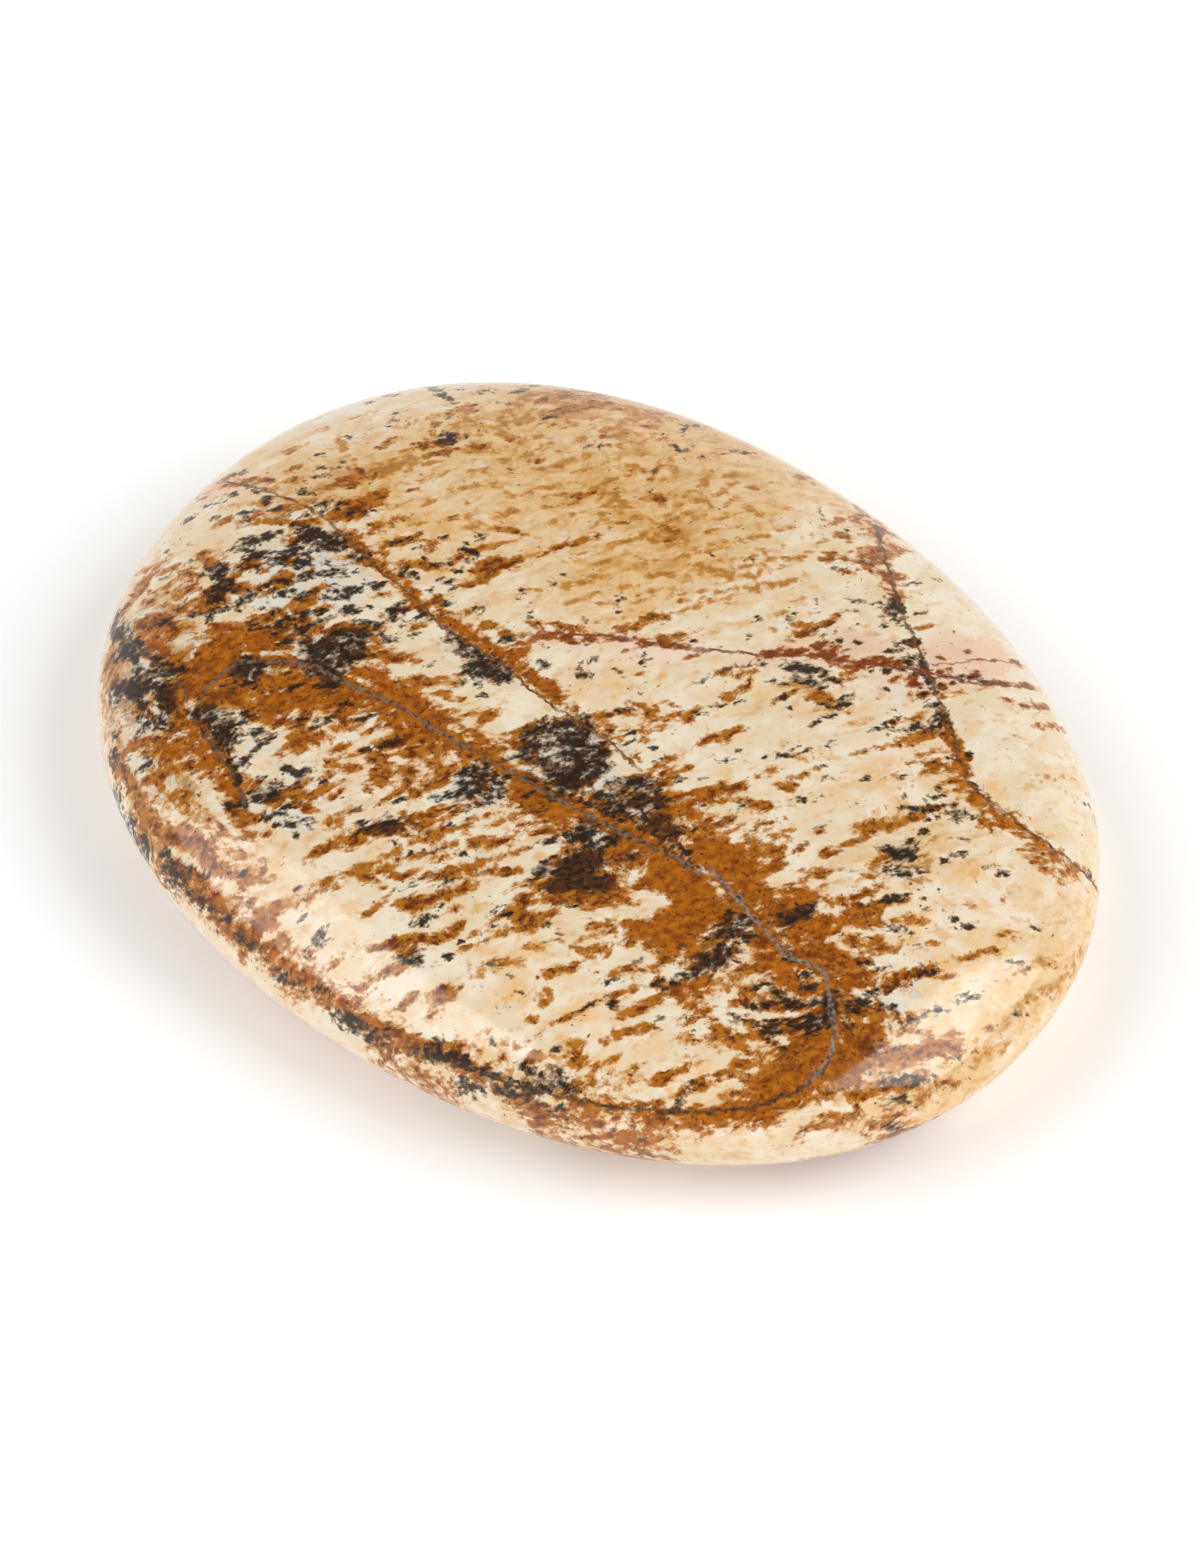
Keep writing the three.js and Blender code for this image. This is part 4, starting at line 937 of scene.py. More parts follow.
    (7.8, 11.3, .6, .4), (8.2, 10.2, .6, .2), (7.4, 10.1, .5, .17), (9.6, 10.1, .9, .35, -40),
    (8.8, 10.7, .9, .25, -45), (9.8, 10.6, .5, .2), (10.2, 11, .7, .25), (9.9, 10.1, .6, .25),
    (6.1, 9, .4, .17), (5.9, 9.6, .28, .2, 0), (6.2, 9.6, .33, .2), (6.4, 11.1, .4, .3),
    (7.7, 9.1, .7, .2), (9.9, 8.9, .4, .2), (10.1, 9.6, .6, .2), (11.3, 8.3, .9, .4), (9.7, 7, 1, .2, 75),
    (9.6, 6.5, .7, .18), (8.4, 4.45, .33, .2, 0), (6.1, 5, .25, .2, 0), (7.35, 2.8, .33, .2),
    (7.6, 3.5, .33, .15), (8.05, 3.7, .6, .15), (9, 3.6, .4, .15), (9.6, 3.2, .35, .18),
    (9.9, 2.1, .33, .17), (12.8, 4, .4, .15), (13.2, 4.1, .7, .35), (13.6, 4.7, .6, .3),
    (13.3, 5.9, .35, .2), (13.5, 5.3, .6, .3), (19.95, 7.65, .3, .25, 0), (17.6, 10.45, .33, .14),
    (-18.1, -4, .6, .25), (-17.5, -4.15, .7, .3, 10), (-16.9, -4.4, 1.1, .5), (-16.6, -5.2, .9, .45),
    (-16.1, -5.6, .5, .2), (-17.9, -7.15, .8, .3, 20), (-14.6, -4.4, .6, .3), (-14.5, -3.4, .6, .3),
    (-13.4, -4.4, 1, .4), (-12.3, -3.9, .9, .4), (16.5, -6.4, 1.6, .5, 80), (16.2, -5.4, 1.1, .4, 40),
    (15.2, -7.8, 1.2, .35, 40), (-13.1, -.15, .6, .4), (-12.9, .25, .6, .3, 20), (-14.9, -1.7, .9, .5),
    (-11.5, -.7, .9, .35, 50), (-12.2, -1.6, 1.1, .3, 50), (-16.9, -2.5, 1, .5),
    (-10.4, -3.3, 1.3, .7, 50), (-12.5, -3.3, .8, .35, 40), (-1.6, -6.9, 1.1, .5), (-2.2, -5.9, 1, .4),
    (-.9, -5.6, .8, .35), (3.5, -5.6, 1.2, .5), (-9.7, -6.1, 1.1, .4, 40), (-9.6, -15.85, 1.1, .3, -15),
    (.4, -17.2, 1, .25, 0), (6.3, -16.5, 1.2, .3, 15),
]
BLACK[0.85] = [
    (-13.9, -.1, .8, .4, 50), (-17.8, -1.9, .6, .35), (-17.6, -2.5, 1.1, .4, 40), (-16.9, -1, .7, .4),
    (-13.6, -1.6, .8, .35, 50), (-17, -2.35, .5, .35), (-15.9, -2.3, .7, .35), (-15.6, -2.15, .9, .35, 20),
    (-15.2, -3.2, .9, .4), (-14.5, -2.7, .7, .35), (-14.3, -3.3, .9, .3), (-16.2, -4.3, 1.5, .5, 10),
    (-15.5, -4.5, .8, .4, 50), (-13.6, -5, .8, .35, 50), (-14.3, -5.4, .9, .5), (-13.6, -2.9, .6, .35),
    (-18.6, -1.1, .4, .3), (-19.9, -1.4, .5, .35), (-21.1, -1.9, .5, .3), (-16, -5.5, .5, .3),
    (-10.5, -4.4, 2.4, 2.05, 80), (-9.7, -5.9, 1, .85, 80), (-12.4, -4.3, .9, .4), (-12, -3.4, .6, .35),
    (-13, -2.1, .7, .35), (-8.9, -1, .35, .3), (-8.5, -1.8, .5, .2), (-9.9, -.8, .4, .3),
    (-7.6, -.8, 1.4, .25, 0), (-10.5, .6, .4, .4), (-5.3, .4, .8, .35), (-5.3, -2.4, .5, .25),
    (-16.3, -9.9, 1.4, .55, -10), (-18.3, -8.8, .9, .9, -20), (-12.3, -10.2, 1.6, .6, -15),
    (-11.5, -9.5, 1.4, .5), (-16.1, -12.3, .5, .35, -40), (-7.5, -10.6, .35, .35, 0),
    (-7.3, -12.1, .5, .25), (-9.2, -15.7, .6, .4, -10), (-8.4, -15.6, .6, .35, 0), (-7.4, -6.5, .8, .3),
    (-.1, -.55, .4, .18), (2, -.7, .6, .25), (-.5, -1.55, 1.5, .85, 40), (-1.15, -2.4, 1.4, .7),
    (-.5, -3.9, .6, .3), (.5, -4.55, .8, .3, 20), (2.2, -2.3, .6, .17), (-2.25, -7.45, .4, .25),
    (4.8, -7.3, 1.2, .85), (1.1, -12.3, .4, .25), (.6, -13, .3, .19), (1.4, -13.75, .7, .19, 15),
    (2.7, -13.3, .5, .35), (2.7, -12.4, .3, .25), (4.1, -10.3, .33, .25), (5.5, -9.85, .45, .16, 0),
    (4.6, -12.5, .7, .19, 20), (5.2, -12.5, .3, .19, 0), (-2.4, -16.2, .35, .2, 0),
    (.7, -17.1, 1.8, .35, 5), (-1, -16.9, .6, .25, 0), (4.3, -16.2, .7, .3), (6.1, -2.15, .35, .17),
    (5.9, -2.75, .35, .17), (12.5, -3.6, .8, .3), (11, -6.7, .9, .35), (5.5, -7, 1.2, .75),
    (10.1, -7.1, .35, .17), (10.6, -7.2, .35, .2), (11.3, -7.7, .9, .4), (6.4, -14.9, .35, .16, -45),
    (9.2, -14.7, 1.3, .65, 20), (13.5, -8.6, .5, .14), (13.9, 1.95, .7, .3, 20), (14, 4.2, .3, .18),
    (12.8, 3.7, .3, .18), (20.2, 3.5, .35, .18, 0), (18.2, 1.3, .8, .35, 50), (14.55, -.8, .5, .2),
    (16.9, -2.75, .5, .18), (14.2, -6.3, .5, .25), (14, -8.1, .4, .2), (18.7, -5.65, .7, .25),
    (-14.3, 12.1, .7, .4), (-17.6, 2.6, .8, .2, 45), (-9.9, 3.25, .3, .2, 0), (-12.4, 1.4, .7, .3),
    (-9.6, 1.05, .4, .2), (-5.5, 13.9, .28, .2, 0), (-4.9, 15.3, .9, .2, 80), (2.2, 7.85, .4, .2),
    (5.5, 9.2, .35, .2), (7.2, 6.1, .7, .2, 20), (5.2, 5.9, .5, .18), (10.6, 11.5, .7, .25),
    (11.1, 11.8, .8, .2, 45), (11.8, 12.5, .8, .2, 55), (8.4, 9.7, .4, .2), (9, 9.9, .5, .2),
    (10.8, 8.1, .6, .2), (10.3, 8, .4, .2), (11, 9, .6, .3), (13.1, 8.1, .35, .2), (13.9, 5.1, .3, .18),
    (-18.2, -4.7, .5, .2), (-15.9, -4.9, .5, .2), (-15.4, -3.8, .4, .2), (-15.1, -3.1, .5, .25),
    (-13.2, -5.2, .6, .25), (-12.4, -4.6, .5, .2), (.5, -5.2, .8, .3), (4.4, -5.2, 1.6, .7),
    (-8.5, -6.4, .9, .3, 40), (-10.9, -7.1, .9, .35, 50), (-14.5, -14.2, 1, .35, -38),
    (1.6, -17.15, .8, .2, 3), (7.5, -15.7, .9, .3, 20),
]
BLACK[0.8] = [
    (-18.5, .35, .6, .55), (-17.9, .2, .7, .4), (-17.2, .25, .6, .4), (-14.5, -.45, .8, .35, 50),
    (-14, -1.1, .5, .3), (-12.8, -1, .6, .3), (-13.3, -1.3, .5, .3), (-16.3, -2.9, .5, .4),
    (-13.9, -3.2, .4, .3), (-17.3, -4.25, .6, .35), (-17, -3.4, .6, .3, 20), (-16.9, -4.7, .9, .7),
    (-16.6, -5, .6, .4), (-14.1, -4.4, .5, .4), (-19.2, -4.1, .3, .3, 0), (-18.1, -2.9, .4, .2),
    (-17.9, -5.6, .4, .3), (-15.4, -5, .4, .3), (-16.4, -5.75, .5, .3), (-15.6, 1.8, .5, .4),
    (-15.9, 1.1, .5, .4), (-14.5, 2.1, .6, .3), (-10.9, -3.7, .9, .85), (-9.4, -4, .8, .4),
    (-12, -2, .3, .4, 0), (-4.7, -2.2, .4, .2), (-4.3, -2.6, .4, .2), (-17, -10.4, 1.6, .7, 10),
    (-12.2, -7.8, .5, .35), (-15.6, -10, 1, .5, -30), (-16.8, -10.2, 1.2, .7, 10),
    (-17.7, -10.5, .7, .35, -50), (-15.6, -11.3, .5, .3), (-14.7, -11, .6, .3), (-13.9, -13, .7, .35),
    (-9, -11.3, .6, .35), (-9.4, -12.95, .5, .35, 0), (-4.4, -14.3, .4, .3), (-6.9, -14.9, .35, .35, 0),
    (-10.6, -15.6, 1, .5, -20), (-5.2, -16.8, 1.4, .3, -3), (-8.7, -7.6, 1.3, .4, 70), (-8.4, -7, .7, .3),
    (-5.7, -6.7, 1, .4, 65), (-11.6, -6.6, .8, .25), (-3.9, -1, .6, .4), (-3.4, .3, .3, .25),
    (1.1, -.75, .35, .18), (2.65, -.95, .4, .18), (-.2, -4.5, .8, .3), (4.1, -1.9, .5, .25),
    (2.6, -4.1, 1.5, .35, 10), (-1, -7.3, .7, .3), (3.6, -6.4, .6, .3), (3.2, -7.5, 1.2, .4, 70),
    (-3.75, -10.7, .9, .35), (-2.3, -9.5, .5, .18), (-1.75, -10.9, .6, .17), (.6, -10.6, .7, .19),
    (1, -14.5, .4, .25), (-2.4, -15.4, 1, .35, 80), (9.9, 2, .6, .19), (7.6, 0, .4, .15),
    (6.3, -3.2, 1, .75), (5.4, -3.25, 1, .75), (6.6, -3.9, .9, .25, 20), (11.9, -5.2, .8, .35),
    (10.5, -5.6, .6, .2), (6.1, -12.8, .4, .19, 10), (12.7, 2.3, .4, .19), (14.7, 2.4, .4, .25),
    (12.6, 4.4, .3, .25), (17.9, .8, .4, .16), (15.3, -1.5, .35, .2), (16.1, -3.15, .4, .2),
    (19.2, -3.5, .9, .35), (20, -1.1, .9, .12), (14.4, -7.2, .5, .2), (19.3, -5, .8, .16),
    (20.6, -5.3, .8, .14, 70), (-16.3, 9.9, .9, .3, -20), (-16.3, 10.9, .35, .2), (-17.9, 3, .4, .16),
    (-17.5, 1.6, .6, .3), (-16.3, 1.5, .9, .35), (-15.6, 1.9, .5, .25), (-15.9, 1.2, .5, .3),
    (-17.1, 1.8, .4, .2), (-7.3, 14.9, .9, .2, -60), (-6.35, 11.6, .5, .16, -75), (4.9, 8.9, .4, .16),
    (4.9, 6.6, .8, .3, 30), (7.7, 5.5, .4, .15), (4.4, 4, .4, .14), (3.3, 2.1, .4, .16),
    (0, 10.4, .3, .18), (6.8, 11.7, .4, .16), (8.1, 9.3, .4, .2), (9.6, 9.6, .4, .2), (10.1, 6.7, .4, .16),
    (15.2, 5.6, .5, .18), (-17.8, -3.5, .5, .2), (-19.6, -5.3, .4, .2), (-16.2, -6.1, .3, .2),
    (-15.45, 11.3, .7, .25), (18.4, -1.3, .8, .35, 50), (20.2, -1.1, 1, .15, 55), (1.3, -5.7, .7, .25),
]
BLACK[0.75] = [
    (-16.3, 1.4, .9, .4), (-15, -10.1, 1.5, .6, -35), (-15.1, -10.4, 1.1, .55, -20),
    (-12.2, -10, 1.4, .75, -20), (12, -3.7, .9, .3, 70), (15.6, -7.1, 1.2, .4, 40),
    (-17.6, 10.3, .9, .35, -20), (-9.3, 11.1, .8, .2, 50), (-11.9, 11.4, .5, .25), (4.6, 5.6, .4, .15),
    (5.2, 11.8, .5, .18),
]
BLACK[0.7] = [
    (-16.6, .45, .5, .3), (-14.9, -3.6, .6, .3), (-14.7, -4.9, .5, .3), (-20.2, 0, .5, .35),
    (-20.2, -.5, .5, .25), (-20.8, -1, .5, .3), (-17.6, 1.5, .5, .35), (-17.1, 1.7, .4, .3),
    (-16.9, -6.2, .5, .3), (-17.7, -6.1, .4, .3), (-16.2, -6.3, .4, .3), (-9.6, .4, .4, .2),
    (-13.3, -8.6, .4, .35), (-18.9, -9.3, .5, .3, -50), (-14.9, -14.3, 1.2, .35, -35),
    (-13.2, -15, 1.4, .35, -28), (-11.6, -9.1, 1.2, .3, 40), (-9.7, -16.1, 1.7, .35, -15),
    (-8, -16.4, 1.2, .3, -5), (-6.6, -16.5, .8, .3, 0), (-11.9, -15.4, 1.3, .3, -25),
    (-12.8, -8.2, .8, .35, 40), (-1.5, -1.9, .5, .25), (-1.6, -3.1, .6, .25), (2.6, -2.7, .8, .14, 45),
    (2.15, -3, .6, .25), (2.4, -3.6, .8, .25, 45), (4.5, -1.6, .5, .25), (5.2, -2.1, .4, .25),
    (5.55, -2.8, .5, .35), (4.2, -3.9, 1.5, .35, 20), (3.2, -3.8, .9, .3, 10), (4.9, -3.2, .7, .35),
    (-2.95, -5.25, .9, .3, 10), (3, -10.3, .4, .18), (-3.5, -15.2, .5, .25), (2.3, -17, 1.3, .19, 0),
    (7.6, -1.25, .6, .2), (5.4, -4.2, .9, .25, 10), (11.9, -4.9, .6, .2, 20), (10.7, -9.2, .4, .17),
    (8.6, -11.8, .9, .11, 65), (10, -14.5, .9, .25, 20), (9.9, -15.3, 1.2, .25, 20),
    (8.2, -14.9, .8, .25, 10), (13.3, -4.9, .3, .2), (12.1, -6.4, .3, .2), (15.3, 2.1, .6, .4),
    (20.4, 1.5, .8, .3, 45), (21.2, -3.4, .5, .2), (18, -4, 1.1, .35, 50), (15.3, -8.1, 1.3, .35, 5),
    (14.6, -7.9, .9, .2, 30), (19.2, -6.5, 1.3, .2, 45), (20.8, -6.9, .5, .14), (-14.2, 6.7, .4, .2),
    (-11.4, 1.9, .5, .2), (-4.5, 15.6, .7, .2), (2.9, 5, .5, .16), (1.6, 14.3, .4, .16),
    (4.8, 11.5, .8, .2, 30), (4.9, 10.8, .5, .2), (10.5, 10.9, .7, .18), (7.9, 9.6, .4, .16),
    (11.6, 8, .5, .2), (12.3, 6.6, .4, .2), (18.15, 10.5, .5, .12, -55), (-14.3, 12.3, .7, .3),
    (19.6, -2.5, .7, .2), (20.3, -5.7, 1.2, .3, 50), (-11.8, -15.5, .7, .25, -22),
    (-13, -14.9, .6, .25, -30), (-3, -17.2, .6, .2, -3),
]
BLACK[0.65] = [(4.4, -6.6, 1.7, 1.2)]
BLACK[0.6] = [
    (-19.4, .6, .5, .2, 20), (-21, 1.1, .8, .3, 40), (-13, -8.3, .5, .35), (-14.9, -13, .5, .3),
    (-17.4, -11, .9, .35, -40), (-20.4, -7.4, 1, .4, -70), (-10.2, -8.3, .5, .3), (-9.5, -8.4, .5, .4),
    (4.2, -5.6, .7, .35), (5.8, -5.8, .8, .35), (5.3, -8.4, .7, .35), (4.8, -8.7, .6, .3),
    (-2, -15.5, .5, .17), (-2.6, -17.1, 1.2, .19, -3), (2.4, -16.7, .5, .25, 20), (11.35, -10.25, .4, .25),
    (12.05, -5.9, .4, .2), (14.4, 1.3, 1.1, .55), (14.9, 1.6, .9, .5), (17.3, -.9, .5, .16),
    (18.3, -1.6, .8, .3), (18.6, -4.3, .9, .18, 50), (20.9, -4.9, .6, .14), (-19.2, 7.9, .6, .35),
    (-15.3, 8.9, .5, .2), (-21, 1.4, .7, .3), (-7.2, 15.8, .9, .2), (12.7, 7.4, .4, .2),
    (14.5, 7, .8, .14, 0), (-11.6, 15.4, 1.2, .3, 25), (-15.9, -12.9, .9, .3, -45),
]
BLACK[0.55] = [(-14.2, 13.1, .9, .3)]
BLACK[0.5] = [
    (-15, 1.7, .9, .3), (-9.4, -7.9, .5, .4), (-4.6, -5.9, .4, .4), (18, -2.5, .8, .2, 50),
    (-18.8, 8.8, 1.2, .25, 55), (-12.4, 13.6, .4, .2),
]
BLACK[0.4] = [(17.6, -3.3, 1, .25)]
print(f"Black has {count(BLACK)} strokes")

# %% Amber and chalky strokes
# Thin curls of clear brown quartz, mostly in the golden part
AMBER = {}
AMBER[0.97] = [
    (-4.2, 10.6, .6, .45, 0), (-3.9, 9.9, .9, .45), (-3.5, 9.3, 1.3, .8, 20), (-4.3, 8.6, 1.3, .4, 70),
    (10.5, 8.5, .9, .2, 80),
]
AMBER[0.95] = [
    (-7.2, 9.2, 1.5, .5, 15), (-4.4, 9.6, 1, .3, 80), (-4.7, 7.7, 1.3, .3), (-4.35, 6.9, .7, .2),
    (.1, 9.2, .9, .16, 45), (.65, 9.9, 1, .16, 105), (.6, 7.95, .6, .17, -70), (-.55, 11.7, .6, .35),
    (-2.4, 10.4, .5, .3), (-16.9, -8.2, 2.8, .6, -8), (6.7, 6.3, 1.5, .6, 10),
]
AMBER[0.9] = [
    (-8.5, 12.4, 1, .35, 20), (-7.5, 12.2, .9, .4, 20), (-4.9, 11, .8, .3, 70),
    (-4.3, 12.6, 1.3, .25, 110), (-4.45, 11.6, 1.3, .3, 100), (-3.8, 8.6, .9, .5), (-6.7, 9.6, .7, .4),
    (-6.2, 9.3, 1.2, .5, 20), (-7.4, 9.9, .7, .4), (-8.6, 9.8, .8, .25), (-9.5, 9.7, .8, .35, 50),
    (-10.4, 9.9, .9, .3, 20), (-10.9, 10.2, .6, .25), (-12.6, 10.4, .7, .4), (-6.4, 8.8, 1.4, .5, 0),
    (-5.3, 8.7, 1.1, .3, 55), (-5.05, 7.1, .7, .2), (-3.9, 7.25, 1, .2, 10), (-3.6, 6.6, .8, .25, 40),
    (-3.35, 7.2, .5, .2), (-4.7, 6.2, .9, .45), (-12.2, 8.2, 1, .3), (-10.2, 8.5, .8, .5, 10),
    (-11.6, 6.2, .6, .3), (-9.5, 5.9, 1, .3, 50), (-9.8, 5.4, .7, .25), (-10.4, 4.3, .9, .5, 50),
    (-9.7, 4.6, .9, .3), (-2.9, 9, 1, .4), (-2.4, 8.4, .9, .3, 50), (-1.2, 8.5, 1.4, .45, 30),
    (-2.2, 7.4, 1, .4, 30), (-2.6, 7, .8, .4), (-2, 6.3, 1, .2, 50), (-.4, 8.7, .9, .17, 45),
    (.75, 10.35, .4, .16, 160), (.5, 8.6, 1.1, .16), (.2, 8.05, 1, .16), (.3, 7.5, .9, .17, 50),
    (0, 7.3, .7, .17), (-.2, 6.7, .9, .17, 75), (1.2, 9.4, 1.3, .16, 55), (1.7, 9.8, 1.3, .18),
    (-1.7, 12.6, .8, .4, 20), (-1, 10.9, 1, .17), (-1.5, 10.3, 1.2, .17, 55), (-1.9, 9.5, 1.4, .18, 55),
    (-1.1, 9.1, 1.6, .18, 50), (-.3, 9.4, 1.6, .17, 55), (.5, 9.5, 1.4, .16), (-3.6, 10.6, .9, .4, 20),
    (-3.8, 11.5, .9, .35, 20), (1.5, 12.5, 1.3, .17, 90), (1.4, 11.9, .6, .2), (.9, 11.2, 1, .2, 40),
    (-15.2, 5.1, 1.9, .9, 75), (-15.6, 4.3, 1.3, .9, 40), (-15.9, 3.7, 1.2, .7, 50),
    (-14.6, 5.4, .9, .25, -70), (-14.5, 8.9, 1.4, .55), (-13.75, 11.2, 2.4, .3, 85),
    (-13, 7.9, 1.2, .6, 50), (-13.8, 7.2, 1.4, .35, 45), (-18.3, 1.9, .8, .4, 40), (-18, -7.4, 2, .9, 10),
    (-17.1, -7.2, 1.2, .8), (-18.9, -7.7, 1.1, .5, -20), (-16, -7.8, 1, .35), (-18.9, -9.6, 1.8, .6, -60),
    (-13, -14.6, 2, .45, -30), (-13.5, -12.1, 1.2, .5, 20), (-14.1, -13.8, 1.9, .35, -30),
    (-12.5, -8.7, 1.5, 1.1), (-11.9, -12.9, 2.2, .5, -15),
]
AMBER[0.85] = [
    (-12.2, 9.3, .9, .4, 0), (-10.2, 12.9, .9, .3, 40), (-9.6, 12.4, .7, .35), (-9.2, 10.4, .7, .4),
    (-7.9, 12.8, .9, .3), (-6, 12.4, .9, .35, -40), (-5.6, 12.1, 1, .3, -50), (-7.1, 11.3, .8, .35, 20),
    (-10.9, 9.5, .9, .2), (-4.4, 5.4, 1.2, .4, 50), (-4.8, 4.6, 1.3, .4, 40), (-11.5, 8.1, .8, .25, 30),
    (-9.7, 7, .9, .35, 50), (-10.9, 6.7, .7, .3, 20), (-12.1, 6.9, 1, .3, 40), (-12, 5.6, .8, .25, 50),
    (-10.4, 6.3, .6, .3), (-7.9, 6.3, .7, .3), (-8.3, 7.3, .9, .25, 50), (-10.9, 4.7, .5, .35),
    (-1.4, 7.7, .7, .25), (-3, 7.6, .8, .25), (-1.2, 6.7, .7, .2), (-.6, 7.4, .7, .2), (-.5, 6.2, .8, .17),
    (.9, 8.9, .8, .16, 50), (-2.2, 5.6, .7, .2), (-3.1, 5.7, .9, .3, 40), (2.7, 8.7, .6, .3),
    (-3.7, 13.9, .9, .35), (-3.4, 13.3, .7, .3), (-2.7, 13.8, .6, .3), (-2.7, 12.8, .6, .3),
    (-.1, 12.8, .9, .2, 70), (-2.4, 11.5, .7, .2), (1.1, 9, 1.2, .17), (-3.5, 12.4, .9, .3, 50),
    (1.9, 10.4, 1, .16, 65), (-13.3, 9.4, 1.2, .35, 40), (-13.6, 8.4, 1, .35, 50),
    (-18, 4.7, 1.2, .4, -30), (-16.9, 2.2, 1.3, .5, 50), (-19.1, -6.4, .9, .35),
    (-20.3, -6.3, 2.4, .35, -80), (-16.6, -10.9, 2, .8, -30), (-12.7, -13.3, .9, .35, 20),
    (-15.7, -11.4, .9, .35), (-13, -9.3, 1.2, .5, 10), (-9.6, -15, 2.6, .5, -8),
    (-8.8, -13.2, 1.4, .4, -25), (13.1, 3.4, 1.2, .35), (8.1, 3.25, 1, .35, 30), (21.2, 2.6, .9, .25, 70),
    (17.7, 2.2, .5, .3, 0), (12.7, -10.3, .6, .3, 20), (4.8, -12.1, 1.1, .4, 30), (5.3, -10.9, .9, .3, 30),
    (20.7, -3.3, 1.4, .5),
]
AMBER[0.8] = [
    (-12.6, 12.6, 1, .4), (-8.7, 11.7, .7, .3), (-11.6, 10, .7, .3), (-9.9, 11.2, .7, .4),
    (-5.9, 11.3, .8, .3, 40), (-12.5, 11.2, 1.2, .35, 75), (-13, 9.8, .8, .35), (-7, 10.6, .6, .3),
    (-12.5, 9.3, .9, .35, 20), (-9.6, 9.3, .7, .3), (-4.2, 4, 1.2, .25), (-5.3, 3.9, 1, .25, 50),
    (-11.2, 5.3, .6, .2), (-7.4, 7.3, .7, .2), (-7.3, 4.6, .6, .3), (-6.4, 8.1, .6, .25, 20),
    (-1.6, 9.6, .9, .25), (-3.3, 4.4, .9, .25, 50), (3, 7.8, .4, .25), (.4, 11.6, .7, .16),
    (.2, 10.9, .7, .16, 0), (-2.9, 11.9, .7, .25), (-1.9, 11, .8, .2), (-3, 10.9, .6, .3),
    (-16.9, 4.2, 1.2, .3, -20), (-18.9, 2.3, .7, .35), (-14.2, 2.9, 1.2, .25, -50), (-13.5, 3.4, 1.2, .25),
    (-14.1, 6, .9, .3, 50), (-17.6, -.1, .8, .6), (-17, 1.2, 1, .5), (-16.2, 1.8, 1, .4),
    (-18, -6.3, 1.4, .5, 30), (-17.8, -9.9, 2.4, .8, -42), (-11.6, -15.3, 2, .4, -25),
    (-10.4, -13.9, 2.2, .5, -12), (21.8, 1.3, 2, .25, 80), (19.9, -4.9, 3, .8, 68), (19.3, -6, 1.4, .4),
]
AMBER[0.75] = [
    (-13.6, 10.8, 1.8, .45, 80), (-8.2, 10.9, .7, .3), (-10.9, 11.6, .8, .35), (-11.4, 12.5, .9, .5, 70),
    (-5.8, 3.3, .8, .2, 30), (-5.7, 6.1, .8, .2), (-2.6, 3.9, .8, .2, 50), (2.9, 9.9, .5, .16),
    (-18.6, .2, .9, .5, 40), (15, 2.4, 1.4, .8, 50),
]
AMBER[0.7] = [
    (-13.7, 12.2, 1.4, .5, 75), (-11.1, 8.8, .9, .4, 40), (-12, 13.6, .9, .4), (-9.3, 13.5, .9, .35),
    (-6.2, 7.6, .9, .2), (-8.9, 8.5, .8, .2, 50), (-9.2, 7.9, .8, .2, 40), (-7.6, 5.4, .7, .2),
    (-12.6, 4.2, .8, .3), (-12.2, 3, .8, .3, 50), (-5.9, 5.2, .6, .2), (-14, 4.6, .9, .25, 50),
    (-13.4, 5.6, 1, .25), (-17.9, .7, 1.4, .4, 20), (-16.7, -6, .9, .4, 50), (-15.7, -12.6, 2, .3, -42),
    (-12.4, -13.9, 1.6, .5, -10), (-7.6, -15.9, 2, .35, -5), (-20.9, -4.9, .9, .25, 10),
    (15.4, 1.4, 1.1, .5), (5.4, 5.9, 1, .35), (7.2, 5.7, .9, .3, 50), (13.2, -10.9, .5, .2),
    (-11.6, 13.4, 2.4, 1.2),
]
AMBER[0.6] = [
    (-7.8, 13.4, 1.4, .6, 30), (-10.2, 14.3, .9, .35, 40), (-5.2, 14.4, .7, .3, -40),
    (-1, 13.6, .9, .2, 40), (.9, 13.2, .6, .17), (-16.6, 7.3, 1, .35), (-16, 8.3, .9, .35),
    (-19.4, -1.6, .8, .3), (-20.6, .6, 1.2, .3, 30), (-18, -10.9, 1.8, .3, -52),
    (-16.9, -11.9, 2, .3, -48), (14.8, 3.6, 1, .35), (21.9, 3.6, 2.2, .25, 100), (21.6, -.9, 1.6, .25, 80),
    (21.9, -2.3, 1.8, .2, 75), (5, -11.9, 1, .4, 50), (18.5, -2.6, 1, .4, 50), (-13.2, 12.6, 2.2, 1.2),
    (-9, 14.8, 2.6, 1, 20), (-12.8, 10.8, 2.4, .9), (-15.2, 9.3, 1.6, .8),
]
AMBER[0.55] = [(-12.9, 13.1, 1.6, .9), (-8.9, 14.2, 1.8, 1.4, 10)]
AMBER[0.5] = [
    (-10.2, 14.2, 1.6, .8, 20), (-6.1, 14.9, .7, .3), (1.2, 6.2, .6, .17), (-2.1, 15, .8, .2, 40),
    (-18.6, 7, 1, .3), (-19.7, -.6, .9, .2, 40), (-6.6, -14.7, 1.4, .5, 10), (-4.7, -15.2, 1.6, .4, 50),
    (-20.3, -4.2, .9, .3), (16.4, 10.6, .7, .3), (-9.4, 12.6, 2, 1, 30),
]
AMBER[0.4] = [(-19.6, 5.2, .9, .3), (8.8, 6.2, .8, .2), (4.2, -13, 1.2, .5, 40)]
AMBER[0.3] = [(15.9, 9.6, 1.4, .4), (13.8, 10.2, .8, .25), (11.6, 5, .9, .25), (9, .9, .8, .4)]
